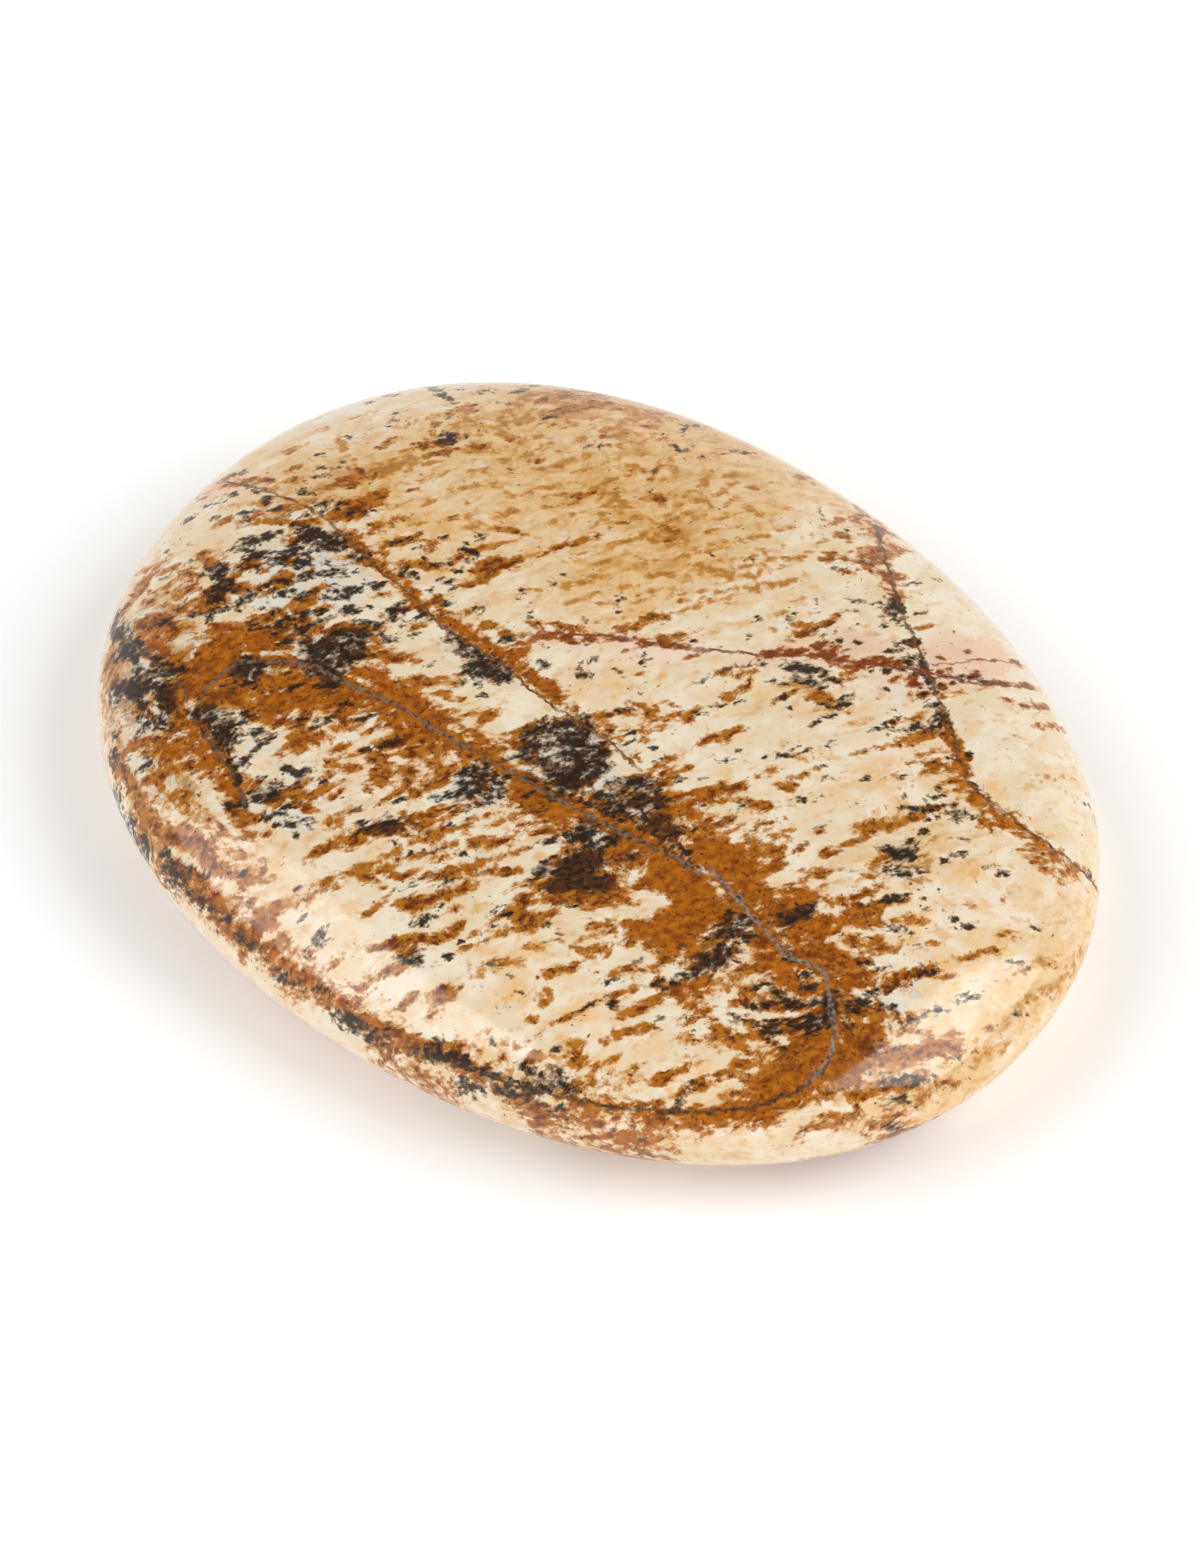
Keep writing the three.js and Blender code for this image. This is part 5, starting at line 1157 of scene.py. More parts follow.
# Small spots that the silica has left porous and pale grey
CHALK = {}
CHALK[0.95] = [(-16.9, 10.15, .7, .2, -25)]
CHALK[0.9] = [
    (-.6, -3, .6, .4), (.5, -3.2, .6, .3), (.1, -4.3, .6, .25), (10.35, -7.4, .9, .7, 20),
    (15.4, -5.5, .8, .35), (13.3, -5.6, .4, .3), (7.5, -3.8, .5, .18, 20), (-10.4, -10.2, .8, .45, 75),
    (-8.2, -12.25, .5, .3), (-17.2, -9.2, 1, .45, -30), (-13.8, 9.45, .4, .3, 0),
]
CHALK[0.85] = [
    (-1.25, -2.5, .5, .25), (-1.2, -6, .5, .3), (-2.6, -6.3, .6, .3), (11.5, -5, .4, .2),
    (-17.2, -1.9, 1.2, .2, 55), (-15.5, -11.5, .8, .25, 75), (-.6, 4.5, .25, .2, 0), (-14.2, 7.3, .5, .2),
]
CHALK[0.8] = [
    (2.6, -2.8, 1.1, .5, 50), (-.5, -4.4, .5, .2), (-1, -1.9, .6, .35), (-1.4, -5.2, .6, .25),
    (-1.95, -6.1, .5, .2), (-2.4, -7.9, .8, .4, 40), (10.9, -5.4, .4, .2), (11.2, -5.9, .5, .2),
    (3.2, -7.8, 1, .3, 70), (-16.3, -1.7, .7, .3), (-15.4, -1.1, .6, .2), (-16, -2.5, .8, .3, 50),
    (-14.3, -2.6, .8, .3), (-14.9, -4.3, .8, .35, 50), (-15.9, -.7, .4, .2), (-10.9, -9.9, .6, .35),
    (-10.9, -4, .6, .2), (-10.2, -4, .5, .2), (-11.4, -4.3, .6, .2), (-10.5, -4.6, .6, .18),
    (-15.3, -11, .5, .2), (-14, -12.9, .9, .5, 30), (-13.9, -10.5, .5, .3, 20), (-13.6, -7.6, .3, .2),
    (18.5, -4.8, .9, .3),
]
CHALK[0.75] = [(-13.9, -3.9, .6, .3)]
CHALK[0.7] = [
    (2.4, -3.6, .8, .3, 50), (-.1, -1.3, .5, .2), (.7, -1.5, .5, .2), (-1.1, -6.6, .35, .2),
    (14.9, -5.7, .5, .2), (-13.4, -.5, .8, .35, 50), (-13.9, -1.4, .8, .25, 50), (-13, -2.8, .5, .25),
    (-6.7, -12, .8, .35), (-12.2, -9.6, .6, .2), (-11.3, -10.4, .5, .2), (-11.8, -3.7, .6, .2),
    (-12.6, -3.7, .7, .2), (-12, -4.8, .7, .2), (-14.1, -11.6, .7, .3), (9, 11, .4, .2),
    (20.2, -6, .5, .16),
]
CHALK[0.6] = [
    (-14, -2.2, 5.4, 4, 20), (4.6, -3, .5, .2), (3, -2.7, .5, .2), (-9.3, -9.9, 1.2, .6, 20),
    (-7.9, -10.3, .7, .25), (-16.2, -11.4, .7, .3), (-18.6, -9.1, .5, .3, -40), (-12, -1.2, 1.2, .5, 50),
    (-13.9, 6.5, .4, .2), (18.3, -3.4, 1, .3, 55), (19, -5.4, .7, .2), (6.2, -2.9, .5, .25),
    (-5.4, -1.6, .8, .2), (16.3, -.9, .5, .2), (5, 6.6, .5, .2),
]
CHALK[0.5] = [
    (-17.7, -3.3, .9, .35, 30), (-19.2, -7.2, .9, .4, 40), (-10.7, -1.4, 1, .8), (8.8, 8.9, .9, .4, 50),
    (17, -2.6, .9, .4, 50), (-8.6, -7.3, .5, .2), (13.5, 4.4, .5, .2),
]
CHALK[0.4] = [
    (-11, -4.2, 3.6, 1.6, 20), (-13, -13.2, 2.6, 1.4, -30), (-6.6, -12, 2.4, 1.4, 20), (18, -3.4, 3, 1.4),
    (8, 8.6, .8, .4, 50),
]
CHALK[0.3] = [(.8, -3.2, 4.4, 2.2, 20), (-1.6, -6.4, 2.6, 2.2)]
CHALK[0.2] = [(11, -6.4, 2.4, .8, 75)]
print(f"Amber has {count(AMBER)} strokes and chalk has {count(CHALK)}")

# %% Wide soft zones
# Cream that a little iron has turned golden
GOLD = {}
GOLD[0.8] = [(-3.9, 9.8, 3.2, 3, 80)]
GOLD[0.7] = [
    (-6.9, 9.4, 4, 2.4, 10), (-7.3, 12.7, 2.8, 1.8, 30), (-4.8, 4.4, 2.4, 1, 70), (-15.3, 5, 2.6, 1, 75),
]
GOLD[0.6] = [
    (-2, 15.8, 8, 2.2, 0), (-9.8, 14.9, 7, 2.2, 22), (-3.9, 7, 3.4, 1.4, 80), (-15.8, 3.6, 1.8, .9, 50),
    (-13.8, 10.2, 4, 1.4, 80), (-4.4, 11.8, 2.6, .9, 120),
]
GOLD[0.5] = [
    (-8.5, 10.5, 17, 11, 10), (-5.6, 15.4, 3.6, 2.2, 20), (-2.4, 8.4, 2.6, 2, 50),
    (-1.5, 12.5, 1.4, 1, 50), (-11.5, 12, 3, 2, 50), (-16.5, 2.8, 6, 3.4, 20),
]
GOLD[0.45] = [(-2.6, 14.2, 2.6, .7, -30)]
GOLD[0.4] = [
    (-10.6, 8.6, 3, 1.6, 20), (21.4, 1, 12, 2, 95), (-12, 3.6, 4, 2.6), (-2.8, 5.4, 4, 3),
]
GOLD[0.35] = [(13.6, 1.5, 4, 2), (20.6, -7, 6, 1.4)]
GOLD[0.3] = [
    (15, 4.2, 6, 3, 50), (6.6, 5.6, 4, 1.6, 30), (-9, 2.5, 9, 4, 30), (22, 0, 16, 1.6, 95),
    (9, -15.6, 10, 1.4, 22),
]
GOLD[0.25] = [(-.8, 8.8, 2.6, 1.4), (-18, 4, 9, 5), (17, -9.5, 9, 1.6, 55)]
GOLD[0.2] = [(-9.8, 6.6, 2.6, 1.2, 40), (-16.5, -8, 12, 7, -50), (-8, -14.5, 12, 3, -15)]
GOLD[0.15] = [(-20.4, -9.4, 8, 1.6, -52)]
GOLD[0.12] = [(1.5, 9, 7, 4)]
# Cream that the red vein has tinged pink
PINK = {}
PINK[0.9] = [(9.9, 12.3, 4.4, 2.6)]
PINK[0.8] = [(6.2, 9.2, 3.4, 1.8, 40)]
PINK[0.6] = [(.2, 4, 3, .8, 30)]
PINK[0.5] = [
    (8.6, 8.9, 2.6, 1.4, 40), (3.9, 6.8, 2.4, 1.4, 50), (-2.6, 2.5, 3.6, .8, 35), (-21.4, .3, 2, 1.6),
]
# Cream with a warm, peach-coloured tone
PEACH = {}
PEACH[0.7] = [(6, -11.8, 6, 3.4, 10), (-11.5, 3.4, 5, 3.4), (-2.6, 5.2, 4.6, 3.6)]
PEACH[0.6] = [(-1, 1, 2.6, 2)]
PEACH[0.5] = [
    (9.5, -12.4, 5, 2.6, 30), (17, 2.4, 7, 5), (19.4, -.6, 5, 4, 80), (21.6, 0, 18, 3, 95),
    (.5, 2.4, 3, 1.6, 50),
]
PEACH[0.45] = [(11, 4.6, 8, 4, 40), (-17, 3.2, 7, 3.4, 30)]
PEACH[0.4] = [(-1.5, -14.4, 8, 2, 0), (-20.5, 2.6, 3.6, 2.6)]
PEACH[0.35] = [(0, 14, 4, 4, 0)]
PEACH[0.3] = [(14.5, -12, 12, 3, 45)]
PEACH[0.25] = [(4, 4, 6, 3, 40)]
PEACH[0.2] = [(2, -16.6, 16, 2, 5)]
PEACH[0.18] = [(16.4, 9.6, 7, 4, -50)]
# Zones where fine black crumbs are sprinkled more thickly
CRUMBS = {}
CRUMBS[0.8] = [(-16.5, -9.5, 9, 4.4, -48)]
CRUMBS[0.6] = [(-12.5, -6.8, 5, 3, 20)]
CRUMBS[0.5] = [
    (-15, -1.8, 6, 5, 20), (1, -2.5, 6, 3.6, 10), (-1.5, -6.2, 3, 4), (4.4, -7, 3, 4),
    (15.5, -6, 6, 3.6, 50), (10.8, -6.4, 3, 4, 70), (-12, -12.2, 7, 3, -25),
]
CRUMBS[0.4] = [
    (14.6, 1.6, 3, 2.6), (5.6, 6.6, 2.6, 1.6), (-17, 2.2, 5, 3, 30), (-7.5, -11, 4, 4),
    (-6, -1.6, 4, 2, 20),
]
CRUMBS[0.3] = [(.5, -10.5, 5, 4)]
print(f"The soft zones have {sum(count(zone) for zone in (GOLD, PINK, PEACH, CRUMBS))} strokes")

# %% How strokes cover the stone
USUAL_LEAN = 60  # degrees, the way that most streaks lean


def cover(edge, x, y, length, width, lean=USUAL_LEAN):
    """How much of every vertex one stroke covers, 0 to 1. Its side fades out over edge."""
    turn = math.radians(lean)
    dx, dy = plan_x - x, plan_y - y
    forward = (dx * math.cos(turn) + dy * math.sin(turn)) * 2 / length
    sideways = (dy * math.cos(turn) - dx * math.sin(turn)) * 2 / width
    softness = 2 * edge / width
    reached = np.clip((1 + softness - np.hypot(forward, sideways)) / (2 * softness), 0, 1)
    return reached * reached * (3 - 2 * reached)


def laid(strokes, edge, thinnest=0, too_wide=math.inf):
    """How likely a stain is at every vertex, 0 to 1, from all the strokes that cross it.

    Only strokes at least as wide as thinnest and less wide than too_wide are laid.
    """
    clear = np.ones(len(points))
    for strength, group in strokes.items():
        for stroke in group:
            if thinnest <= stroke[3] < too_wide:
                clear *= 1 - strength * cover(edge, *stroke)
    return 1 - clear


# %% Lay the iron
HALO = 0.45  # millimetres of ochre on each side of the flooded vein
HALO_STRENGTH = 0.95

halo = np.zeros(len(points))
for name in ("flooded", "lilac"):
    side, _, strength = beside_vein[name].T
    band = np.clip(2 * (1 - abs(side) / HALO), 0, 1)
    halo = np.maximum(halo, HALO_STRENGTH * strength * band)
ochre = 1 - (1 - laid(OCHRE, edge=0.25)) * (1 - halo)
rust = laid(RUST, edge=0.17)
print(f"Ochre is over {ochre.mean():.0%} of the stone and rust over {rust.mean():.0%}")

# %% Lay the black
SPECK = 0.6  # strokes narrower than this are single flecks, and wider ones are swarms

black_flecks = laid(BLACK, edge=0.12, too_wide=SPECK)
swarms = laid(BLACK, edge=0.3, thinnest=SPECK)
print(f"Flecks are over {black_flecks.mean():.0%} of the stone and swarms over {swarms.mean():.0%}")

# %% Strokes to thresholds
NOISE_SPREAD = 0.085  # the standard deviation of the noise that breaks the strokes up
LOGIT_PER_DEVIATION = 1.702  # makes a logit the number of standard deviations, nearly
SUREST = 0.997  # even the firmest stroke leaves the noise this much room


def threshold_shift(likely):
    """What to add to noise around 0.5 so that it passes 0.5 as often as likely says."""
    likely = np.clip(likely, 1 - SUREST, SUREST)
    return NOISE_SPREAD * np.log(likely / (1 - likely)) / LOGIT_PER_DEVIATION


IRON_IN_SWARMS = 0.5  # black swarms lie on iron this often
FLECK_DENSITY = 0.93
SWARM_DENSITY = 0.82  # a swarm lets the rock show between its crystals
RUST_OVER_OCHRE = 0.75  # rust covers this much of the ochre that it crosses

iron = 1 - (1 - ochre) * (1 - rust) * (1 - IRON_IN_SWARMS * swarms)
black = 1 - (1 - FLECK_DENSITY * black_flecks) * (1 - SWARM_DENSITY * swarms)
keep("iron", threshold_shift(iron))
keep("black", threshold_shift(black))
keep("amber", threshold_shift(laid(AMBER, edge=0.15)))
keep("chalk", threshold_shift(laid(CHALK, edge=0.12)))
keep("dark", swarms)
keep("ochre", ochre * (1 - RUST_OVER_OCHRE * rust))
keep("crumbs", laid(CRUMBS, edge=0.9))
keep("gold", laid(GOLD, edge=1.2))
keep("pink", laid(PINK, edge=0.8))
keep("peach", laid(PEACH, edge=1.5))
print(f"Iron is over {iron.mean():.0%} of the stone and black over {black.mean():.0%}")

# %% [markdown]
# ## The finish
#
# The real thing is jasper: opaque, microcrystalline quartz, lapped flat and then tumbled with
# ever finer grit to a mirror polish. To the eye that is a hard, clear reflection over colour
# that sits right at the surface, with no layer between them. An image could carry the
# colours, but it would blur close up. Noise stays sharp at any distance, so every pattern
# below is noise on the place in millimetres that the vertices carry. Its scale is the number
# of its grains in one millimetre of stone. A stain appears where its noise, raised by what
# the strokes say, passes a threshold.

# %% A material for the stone
jasper = bpy.data.materials.new("polished_jasper")
jasper.use_nodes = True
tree = jasper.node_tree
shader = tree.nodes["Principled BSDF"]

SMOOTH = {"interpolation_type": "SMOOTHSTEP"}  # for the soft edge of a mask
COLOURS = {"data_type": "RGBA"}  # for a Mix node that mixes colours
SOFT = {"Detail": 2, "Roughness": 0.6}  # for a noise with smooth grains
FINE = {"Detail": 3, "Roughness": 0.6}  # for one with more ragged grains


def stain(under, over, where, low, high, most=1):
    """Lays one colour over another, from where a value passes low to full strength at high."""
    span = {"Value": where, "From Min": low, "From Max": high, "To Max": most}
    mask = add("MapRange", span, **SMOOTH)
    return add("Mix", {"Factor": mask, "A": under, "B": over}, **COLOURS)


# %% The streaks' grain
STREAK_LEAN = math.radians(58)
STREAK_STRETCH = 1.4  # streaks are this much longer than wide
LONG_SQUEEZE = 0.45  # squeezes places along the streaks, so the noise comes out longer still
SWAYS_PER_MM = 0.45
SWAY = 0.8  # millimetres from one extreme of the swaying to the other

place = add("Attribute", {}, "Vector", attribute_name="place")
wander = add("TexNoise", {"Vector": place, "Scale": SWAYS_PER_MM, "Detail": 0}, "Color")
centred = add("VectorMath", {0: wander, 1: (0.5, 0.5, 0.5)}, operation="SUBTRACT")
bend = add("VectorMath", {0: centred, "Scale": SWAY}, operation="SCALE")
bent = add("VectorMath", {0: place, 1: bend}, operation="ADD")
streaks = add(
    "Mapping",
    {"Vector": bent, "Rotation": (0, 0, STREAK_LEAN), "Scale": (STREAK_STRETCH, 1, 1)},
    vector_type="TEXTURE",
)
long_streaks = add("Mapping", {"Vector": streaks, "Scale": (LONG_SQUEEZE, 1, 1)})
print(f"The streaks sway about every {1 / SWAYS_PER_MM:.1f} mm")

# %% Cream ground
# The rock between the stains. A trace of iron warms it in clouds, and dots it with flecks
CLOUDS_PER_MM = 0.9
PALE_PER_MM = 0.8
FLECKS_PER_MM = 1.9

cloud_noise = add("TexNoise", {"Vector": bent, "Scale": CLOUDS_PER_MM, **SOFT})
peach = add("Attribute", {}, "Fac", attribute_name="peach")
warm_here = add("Math", {0: cloud_noise, 1: 2.6, 2: peach}, operation="MULTIPLY_ADD")
ground = stain(colour("#ebd7b4"), colour("#f0c488"), warm_here, 1.3, 2.4)
pale_noise = add("TexNoise", {"Vector": streaks, "Scale": PALE_PER_MM, **FINE})
ground = stain(ground, colour("#f5ebd8"), pale_noise, 0.42, 0.62, most=0.65)
fleck_noise = add("TexNoise", {"Vector": streaks, "Scale": FLECKS_PER_MM, **SOFT})
ground = stain(ground, colour("#e2ac62"), fleck_noise, 0.56, 0.72, most=0.6)
print(f"Clouds are about {1 / CLOUDS_PER_MM:.1f} mm and flecks {1 / FLECKS_PER_MM:.1f} mm")

# %% Golden clouds
# Rock that iron has tinged all through, in bands drawn out along the streaks
TAN_PER_MM = 1.6

gold = add("Attribute", {}, "Fac", attribute_name="gold")
tan_noise = add(
    "TexNoise", {"Vector": long_streaks, "Scale": TAN_PER_MM, "Detail": 3, "Roughness": 0.65}
)
tan_here = add("Math", {0: tan_noise, 1: 1.6, 2: gold}, operation="MULTIPLY_ADD")
tan_span = {"Value": tan_here, "From Min": 0.8, "From Max": 1.5, "To Max": 0.85}
tan = add("MapRange", tan_span, **SMOOTH)
ground = add("Mix", {"Factor": tan, "A": ground, "B": colour("#e3b878")}, **COLOURS)
print(f"The golden clouds are about {1 / TAN_PER_MM:.1f} mm wide")

# %% Swirls and curls in the gold
# Pale and deep swirls on the two sides of one noise, and brown curls at its densest
SWIRLS_PER_MM = 1.7
CURLS_PER_MM = 1.1

swirl_noise = add("TexNoise", {
    "Vector": streaks, "Scale": SWIRLS_PER_MM, "Detail": 3, "Roughness": 0.7, "Distortion": 0.6,
})
for full_at, hex_code in ((0.36, "#f0d29c"), (0.64, "#d39a4c")):
    swirl_span = {"Value": swirl_noise, "From Min": 0.5, "From Max": full_at, "To Max": 0.8}
    swirl = add("MapRange", swirl_span, **SMOOTH)
    swirl_in_tan = add("Math", {0: swirl, 1: tan}, operation="MULTIPLY")
    ground = add("Mix", {"Factor": swirl_in_tan, "A": ground, "B": colour(hex_code)}, **COLOURS)
curl_noise = add("TexNoise", {
    "Vector": long_streaks, "Scale": CURLS_PER_MM, "Detail": 4, "Roughness": 0.65,
    "Distortion": 0.8,
})
curl_here = add("Math", {0: curl_noise, 1: 2.2, 2: gold}, operation="MULTIPLY_ADD")
ground = stain(ground, colour("#c58634"), curl_here, 1.7, 2.6, most=0.9)
print(f"Swirls are about {1 / SWIRLS_PER_MM:.1f} mm and curls {1 / CURLS_PER_MM:.1f} mm")

# %% Pink halo of the red vein
# Red iron oxide as fine as dust, spread from the vein into the cream
PINK_PER_MM = 1.4

pink = add("Attribute", {}, "Fac", attribute_name="pink")
pink_noise = add("TexNoise", {"Vector": bent, "Scale": PINK_PER_MM, "Detail": 4})
pink_here = add("Math", {0: pink, 1: pink_noise}, operation="MULTIPLY")
ground = add("Mix", {"Factor": pink_here, "A": ground, "B": colour("#eeb29a")}, **COLOURS)
print(f"The pink is uneven over about {1 / PINK_PER_MM:.1f} mm")

# %% Amber threads and chalky spots
# The threads have a soft tan edge and a brown middle, and the spots are a pale, cool grey
AMBER_PER_MM = 3.3

amber_noise = add("TexNoise", {"Vector": streaks, "Scale": AMBER_PER_MM, **SOFT})
amber_shift = add("Attribute", {}, "Fac", attribute_name="amber")
amber_here = add("Math", {0: amber_noise, 1: amber_shift}, operation="ADD")
ground = stain(ground, colour("#d89c4c"), amber_here, 0.34, 0.5, most=0.4)
amber_tone = add("MapRange", {"Value": amber_here, "From Min": 0.5, "From Max": 0.85})
amber = add("Mix", {"Factor": amber_tone, "A": colour("#cb8e3c"), "B": colour("#9c6022")}, **COLOURS)
ground = stain(ground, amber, amber_here, 0.42, 0.6, most=0.92)
chalk_shift = add("Attribute", {}, "Fac", attribute_name="chalk")
chalk_here = add("Math", {0: amber_noise, 1: chalk_shift}, operation="ADD")
ground = stain(ground, colour("#e0dccf"), chalk_here, 0.42, 0.58, most=0.85)
print(f"The threads' edges have teeth of about {1 / AMBER_PER_MM:.1f} mm")

# %% Where the iron is
# A tan halo comes first, because iron thins out into the cream at every edge
IRON_PER_MM = 2.7

iron_noise = add(
    "TexNoise", {"Vector": streaks, "Scale": IRON_PER_MM, "Detail": 3, "Roughness": 0.65}
)
iron_shift = add("Attribute", {}, "Fac", attribute_name="iron")
iron_here = add("Math", {0: iron_noise, 1: iron_shift}, operation="ADD")
ground = stain(ground, colour("#d9994c"), iron_here, 0.35, 0.5, most=0.65)
print(f"The iron's ragged edges have teeth of about {1 / IRON_PER_MM:.1f} mm")

# %% Colours of the iron
# Rust is light brown where it is thin and dark where it is deep, and it reddens near the red
# vein. Ochre is more even, with a faint mottle and dark specks
DEPTH_PER_MM = 3.1
SPECKS_PER_MM = 5.0

depth_noise = add("TexNoise", {"Vector": streaks, "Scale": DEPTH_PER_MM, **FINE})
core = add("Math", {0: depth_noise, 1: -0.5}, operation="ADD")
core_here = add("Math", {0: core, 1: 2.0, 2: iron_here}, operation="MULTIPLY_ADD")
rust_colour = stain(colour("#b87220"), colour("#70300a"), core_here, 0.44, 0.98)
red_part = add("MapRange", {"Value": pink, "From Max": 0.6, "To Max": 0.85})
rust_colour = add("Mix", {"Factor": red_part, "A": rust_colour, "B": colour("#80371f")}, **COLOURS)
ochre_part = add("Attribute", {}, "Fac", attribute_name="ochre")
mottle = add("MapRange", {"Value": depth_noise, "From Min": 0.36, "From Max": 0.66})
ochre_tones = {"A": colour("#bd6c12"), "B": colour("#88420a")}
ochre_colour = add("Mix", {"Factor": mottle, **ochre_tones}, **COLOURS)
iron_colour = add("Mix", {"Factor": ochre_part, "A": rust_colour, "B": ochre_colour}, **COLOURS)
speck_noise = add("TexNoise", {"Vector": place, "Scale": SPECKS_PER_MM, "Detail": 1})
iron_colour = stain(iron_colour, colour("#56270a"), speck_noise, 0.6, 0.74, most=0.85)
print(f"Its mottles are about {1 / DEPTH_PER_MM:.1f} mm and its specks {1 / SPECKS_PER_MM:.1f} mm")

# %% Haze round the black
# Near the black swarms, the cream turns grey and the rust turns dark brown
HAZE_PER_MM = 2.6

haze_noise = add("TexNoise", {"Vector": streaks, "Scale": HAZE_PER_MM, **SOFT})
dark = add("Attribute", {}, "Fac", attribute_name="dark")
haze_here = add("Math", {0: haze_noise, 1: 2, 2: dark}, operation="MULTIPLY_ADD")
crumbs = add("Attribute", {}, "Fac", attribute_name="crumbs")
grey_here = add("Math", {0: crumbs, 1: 0.6, 2: haze_here}, operation="MULTIPLY_ADD")
ground = stain(ground, colour("#bbb8ad"), grey_here, 1.1, 2.1, most=0.65)
iron_colour = stain(iron_colour, colour("#42210c"), haze_here, 1.05, 1.8, most=0.92)
stained = stain(ground, iron_colour, iron_here, 0.41, 0.58)
print(f"The haze is uneven over about {1 / HAZE_PER_MM:.1f} mm")

# %% Black stain
# Crystals of manganese oxide, with a narrow brown skirt where they thin out
BLACK_PER_MM = 3.8

black_noise = add("TexNoise", {"Vector": streaks, "Scale": BLACK_PER_MM, **SOFT})
black_shift = add("Attribute", {}, "Fac", attribute_name="black")
black_here = add("Math", {0: black_noise, 1: black_shift}, operation="ADD")
stained = stain(stained, colour("#5a3a20"), black_here, 0.38, 0.5, most=0.6)
stained = stain(stained, colour("#271d16"), black_here, 0.46, 0.62, most=0.93)
print(f"The black crystals are about {1 / BLACK_PER_MM:.2f} mm")

# %% Pepper
# Loose black grains over the whole stone, thicker in some patches. Real grains go down to a
# hundredth of a millimetre, and these are drawn as coarse as they need to show
PEPPER_PER_MM = 5.5
PATCHES_PER_MM = 0.6

pepper_noise = add(
    "TexNoise", {"Vector": streaks, "Scale": PEPPER_PER_MM, "Detail": 1, "Roughness": 0.6}
)
patch_noise = add("TexNoise", {"Vector": place, "Scale": PATCHES_PER_MM, "Detail": 2})
patch = add("MapRange", {
    "Value": patch_noise, "From Min": 0.35, "From Max": 0.7, "To Min": -0.12, "To Max": 0.05,
})
crumbs_here = add("Math", {0: crumbs, 1: 0.13, 2: patch}, operation="MULTIPLY_ADD")
pepper_here = add("Math", {0: pepper_noise, 1: crumbs_here}, operation="ADD")
stained = stain(stained, colour("#3a322c"), pepper_here, 0.69, 0.79, most=0.9)
print(f"Grains of pepper are about {1 / PEPPER_PER_MM:.2f} mm")

# %% What fills the veins
VEIN_LOOKS = {  # half the width in millimetres, and the dark and the pale colour
    "flooded": (0.09, "#41301f", "#84745f"),
    "lilac": (0.11, "#4a3b30", "#a29788"),
    "tail": (0.07, "#3d2818", "#6b4d33"),
    "straight": (0.07, "#5f351a", "#8f5c2c"),
    "border": (0.085, "#4a2e17", "#7f5b33"),
    "red": (0.09, "#742f1e", "#8f4c2c"),
    "red_branch": (0.05, "#7a3226", "#9a5c4c"),
    "short": (0.07, "#33271f", "#6a5a4c"),
    "left": (0.06, "#3f322a", "#7a6654"),
}
TREMBLE = 0.12  # millimetres that a line strays to each side of its route
TREMBLES_PER_MM = 2.2
WEAR_PER_MM = 1.7
GRAINS_PER_MM = 5.0

tremble_noise = add("TexNoise", {"Vector": place, "Scale": TREMBLES_PER_MM, "Detail": 4}, "Fac")
tremble = add("MapRange", {
    "Value": tremble_noise, "From Min": 0.3, "From Max": 0.7, "To Min": -TREMBLE, "To Max": TREMBLE,
})
wear_noise = add("TexNoise", {"Vector": place, "Scale": WEAR_PER_MM, "Detail": 3}, "Fac")
wear = add("MapRange", {
    "Value": wear_noise, "From Min": 0.34, "From Max": 0.6, "To Min": 0.55, "To Max": 1,
})
grain_noise = add("TexNoise", {"Vector": place, "Scale": GRAINS_PER_MM, "Detail": 2}, "Fac")
grain = add("MapRange", {"Value": grain_noise, "From Min": 0.36, "From Max": 0.66})
print(f"The filling has grains of about {1 / GRAINS_PER_MM:.1f} mm")

# %% Draw the veins
EDGE_BEGINS = 1.5  # in half widths of the line, measured from its middle
FULL_COLOUR = 0.6

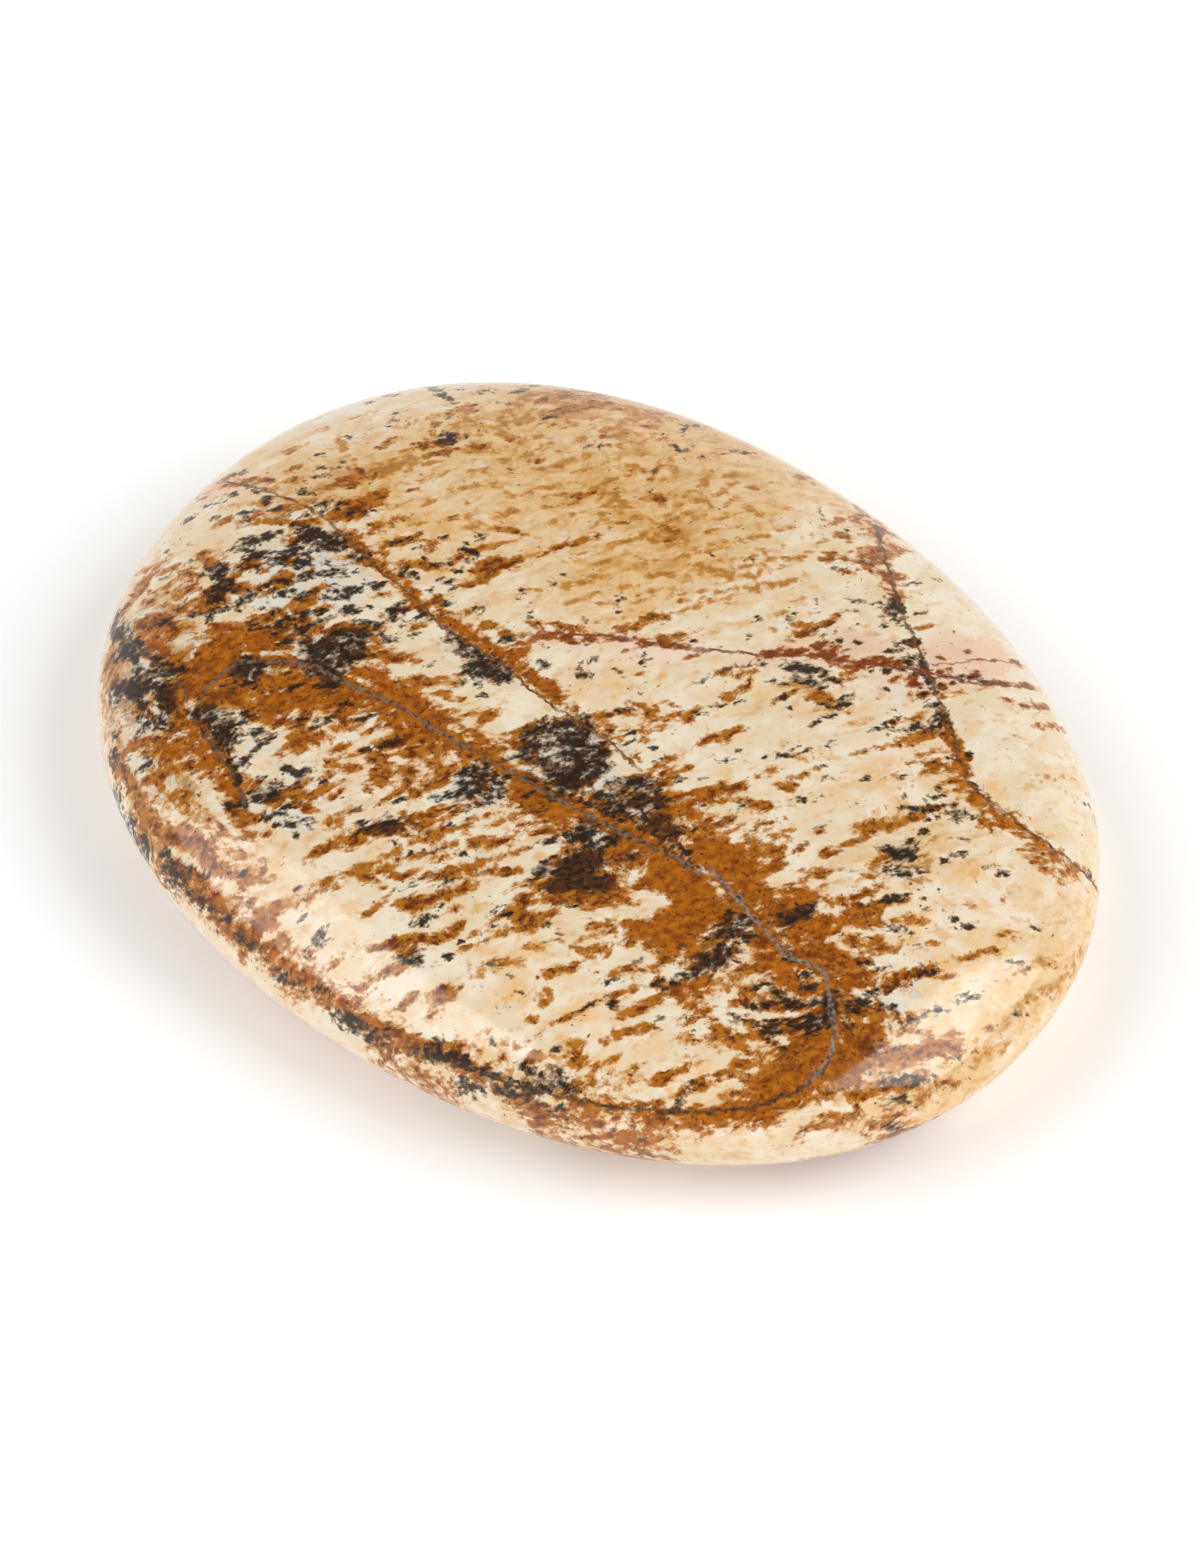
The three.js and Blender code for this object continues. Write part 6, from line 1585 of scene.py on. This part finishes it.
for name, (half_width, dark_code, pale_code) in VEIN_LOOKS.items():
    stored = add("Attribute", {}, "Vector", attribute_name="vein_" + name)
    parts = add("SeparateXYZ", {"Vector": stored}).node.outputs
    shaken = add("Math", {0: parts["X"], 1: tremble}, operation="ADD")
    distance = add("Math", {0: shaken}, operation="ABSOLUTE")
    edge = {"From Min": half_width * EDGE_BEGINS, "From Max": half_width * FULL_COLOUR}
    line = add("MapRange", {"Value": distance, **edge}, **SMOOTH)
    worn_line = add("Math", {0: line, 1: wear}, operation="MULTIPLY")
    drawn = add("Math", {0: worn_line, 1: parts["Z"]}, operation="MULTIPLY")
    tones = {"A": colour(dark_code), "B": colour(pale_code)}
    filling = add("Mix", {"Factor": grain, **tones}, **COLOURS)
    stained = add("Mix", {"Factor": drawn, "A": stained, "B": filling}, **COLOURS)
tree.links.new(stained, shader.inputs["Base Color"])
print(f"The stone's colour is mixed by {len(tree.nodes)} nodes")

# %% [markdown]
# ## The polish
#
# Tumbling leaves quartz almost as smooth as glass, and a little duller where the rock is
# softer, so the roughness runs from 0.07 to 0.14. The index of refraction of quartz is 1.54.
# Between the grains are pits of a few thousandths of a millimetre. They are far too small
# for the mesh, so they are bump. Real pits are narrower still, and these are drawn about
# 0.3 mm wide, so that they show.

# %% Polish
QUARTZ_IOR = 1.54
GLOSS_PER_MM = 0.7
PITS_PER_MM = 3.2
PIT_DEPTH = 0.004  # millimetres

shader.inputs["IOR"].default_value = QUARTZ_IOR
gloss_noise = add(
    "TexNoise", {"Vector": place, "Scale": GLOSS_PER_MM, "Detail": 4, "Roughness": 0.6}
)
gloss = add("MapRange", {
    "Value": gloss_noise, "From Min": 0.35, "From Max": 0.7, "To Min": 0.07, "To Max": 0.14,
})
tree.links.new(gloss, shader.inputs["Roughness"])
pit_noise = add("TexNoise", {"Vector": place, "Scale": PITS_PER_MM, **SOFT})
pit_span = {"Value": pit_noise, "From Min": 0.62, "From Max": 0.8, "To Min": 1, "To Max": 0}
pits = add("MapRange", pit_span, **SMOOTH)
surface = add("Bump", {"Strength": 1, "Distance": PIT_DEPTH * MM, "Height": pits}, "Normal")
tree.links.new(surface, shader.inputs["Normal"])
mesh.materials.append(jasper)
print(f"The pits are {PIT_DEPTH} mm deep and about {1 / PITS_PER_MM:.1f} mm wide")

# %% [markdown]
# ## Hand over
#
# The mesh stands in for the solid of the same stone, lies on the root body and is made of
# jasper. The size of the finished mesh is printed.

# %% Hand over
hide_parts("jasper_stone")
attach(stone, "root")
seen_box = [list(corner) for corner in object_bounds()]
size = [(far - near) / MM for near, far in zip(*seen_box)]
print("The stone came out {:.2f} x {:.2f} x {:.2f} mm".format(*size))
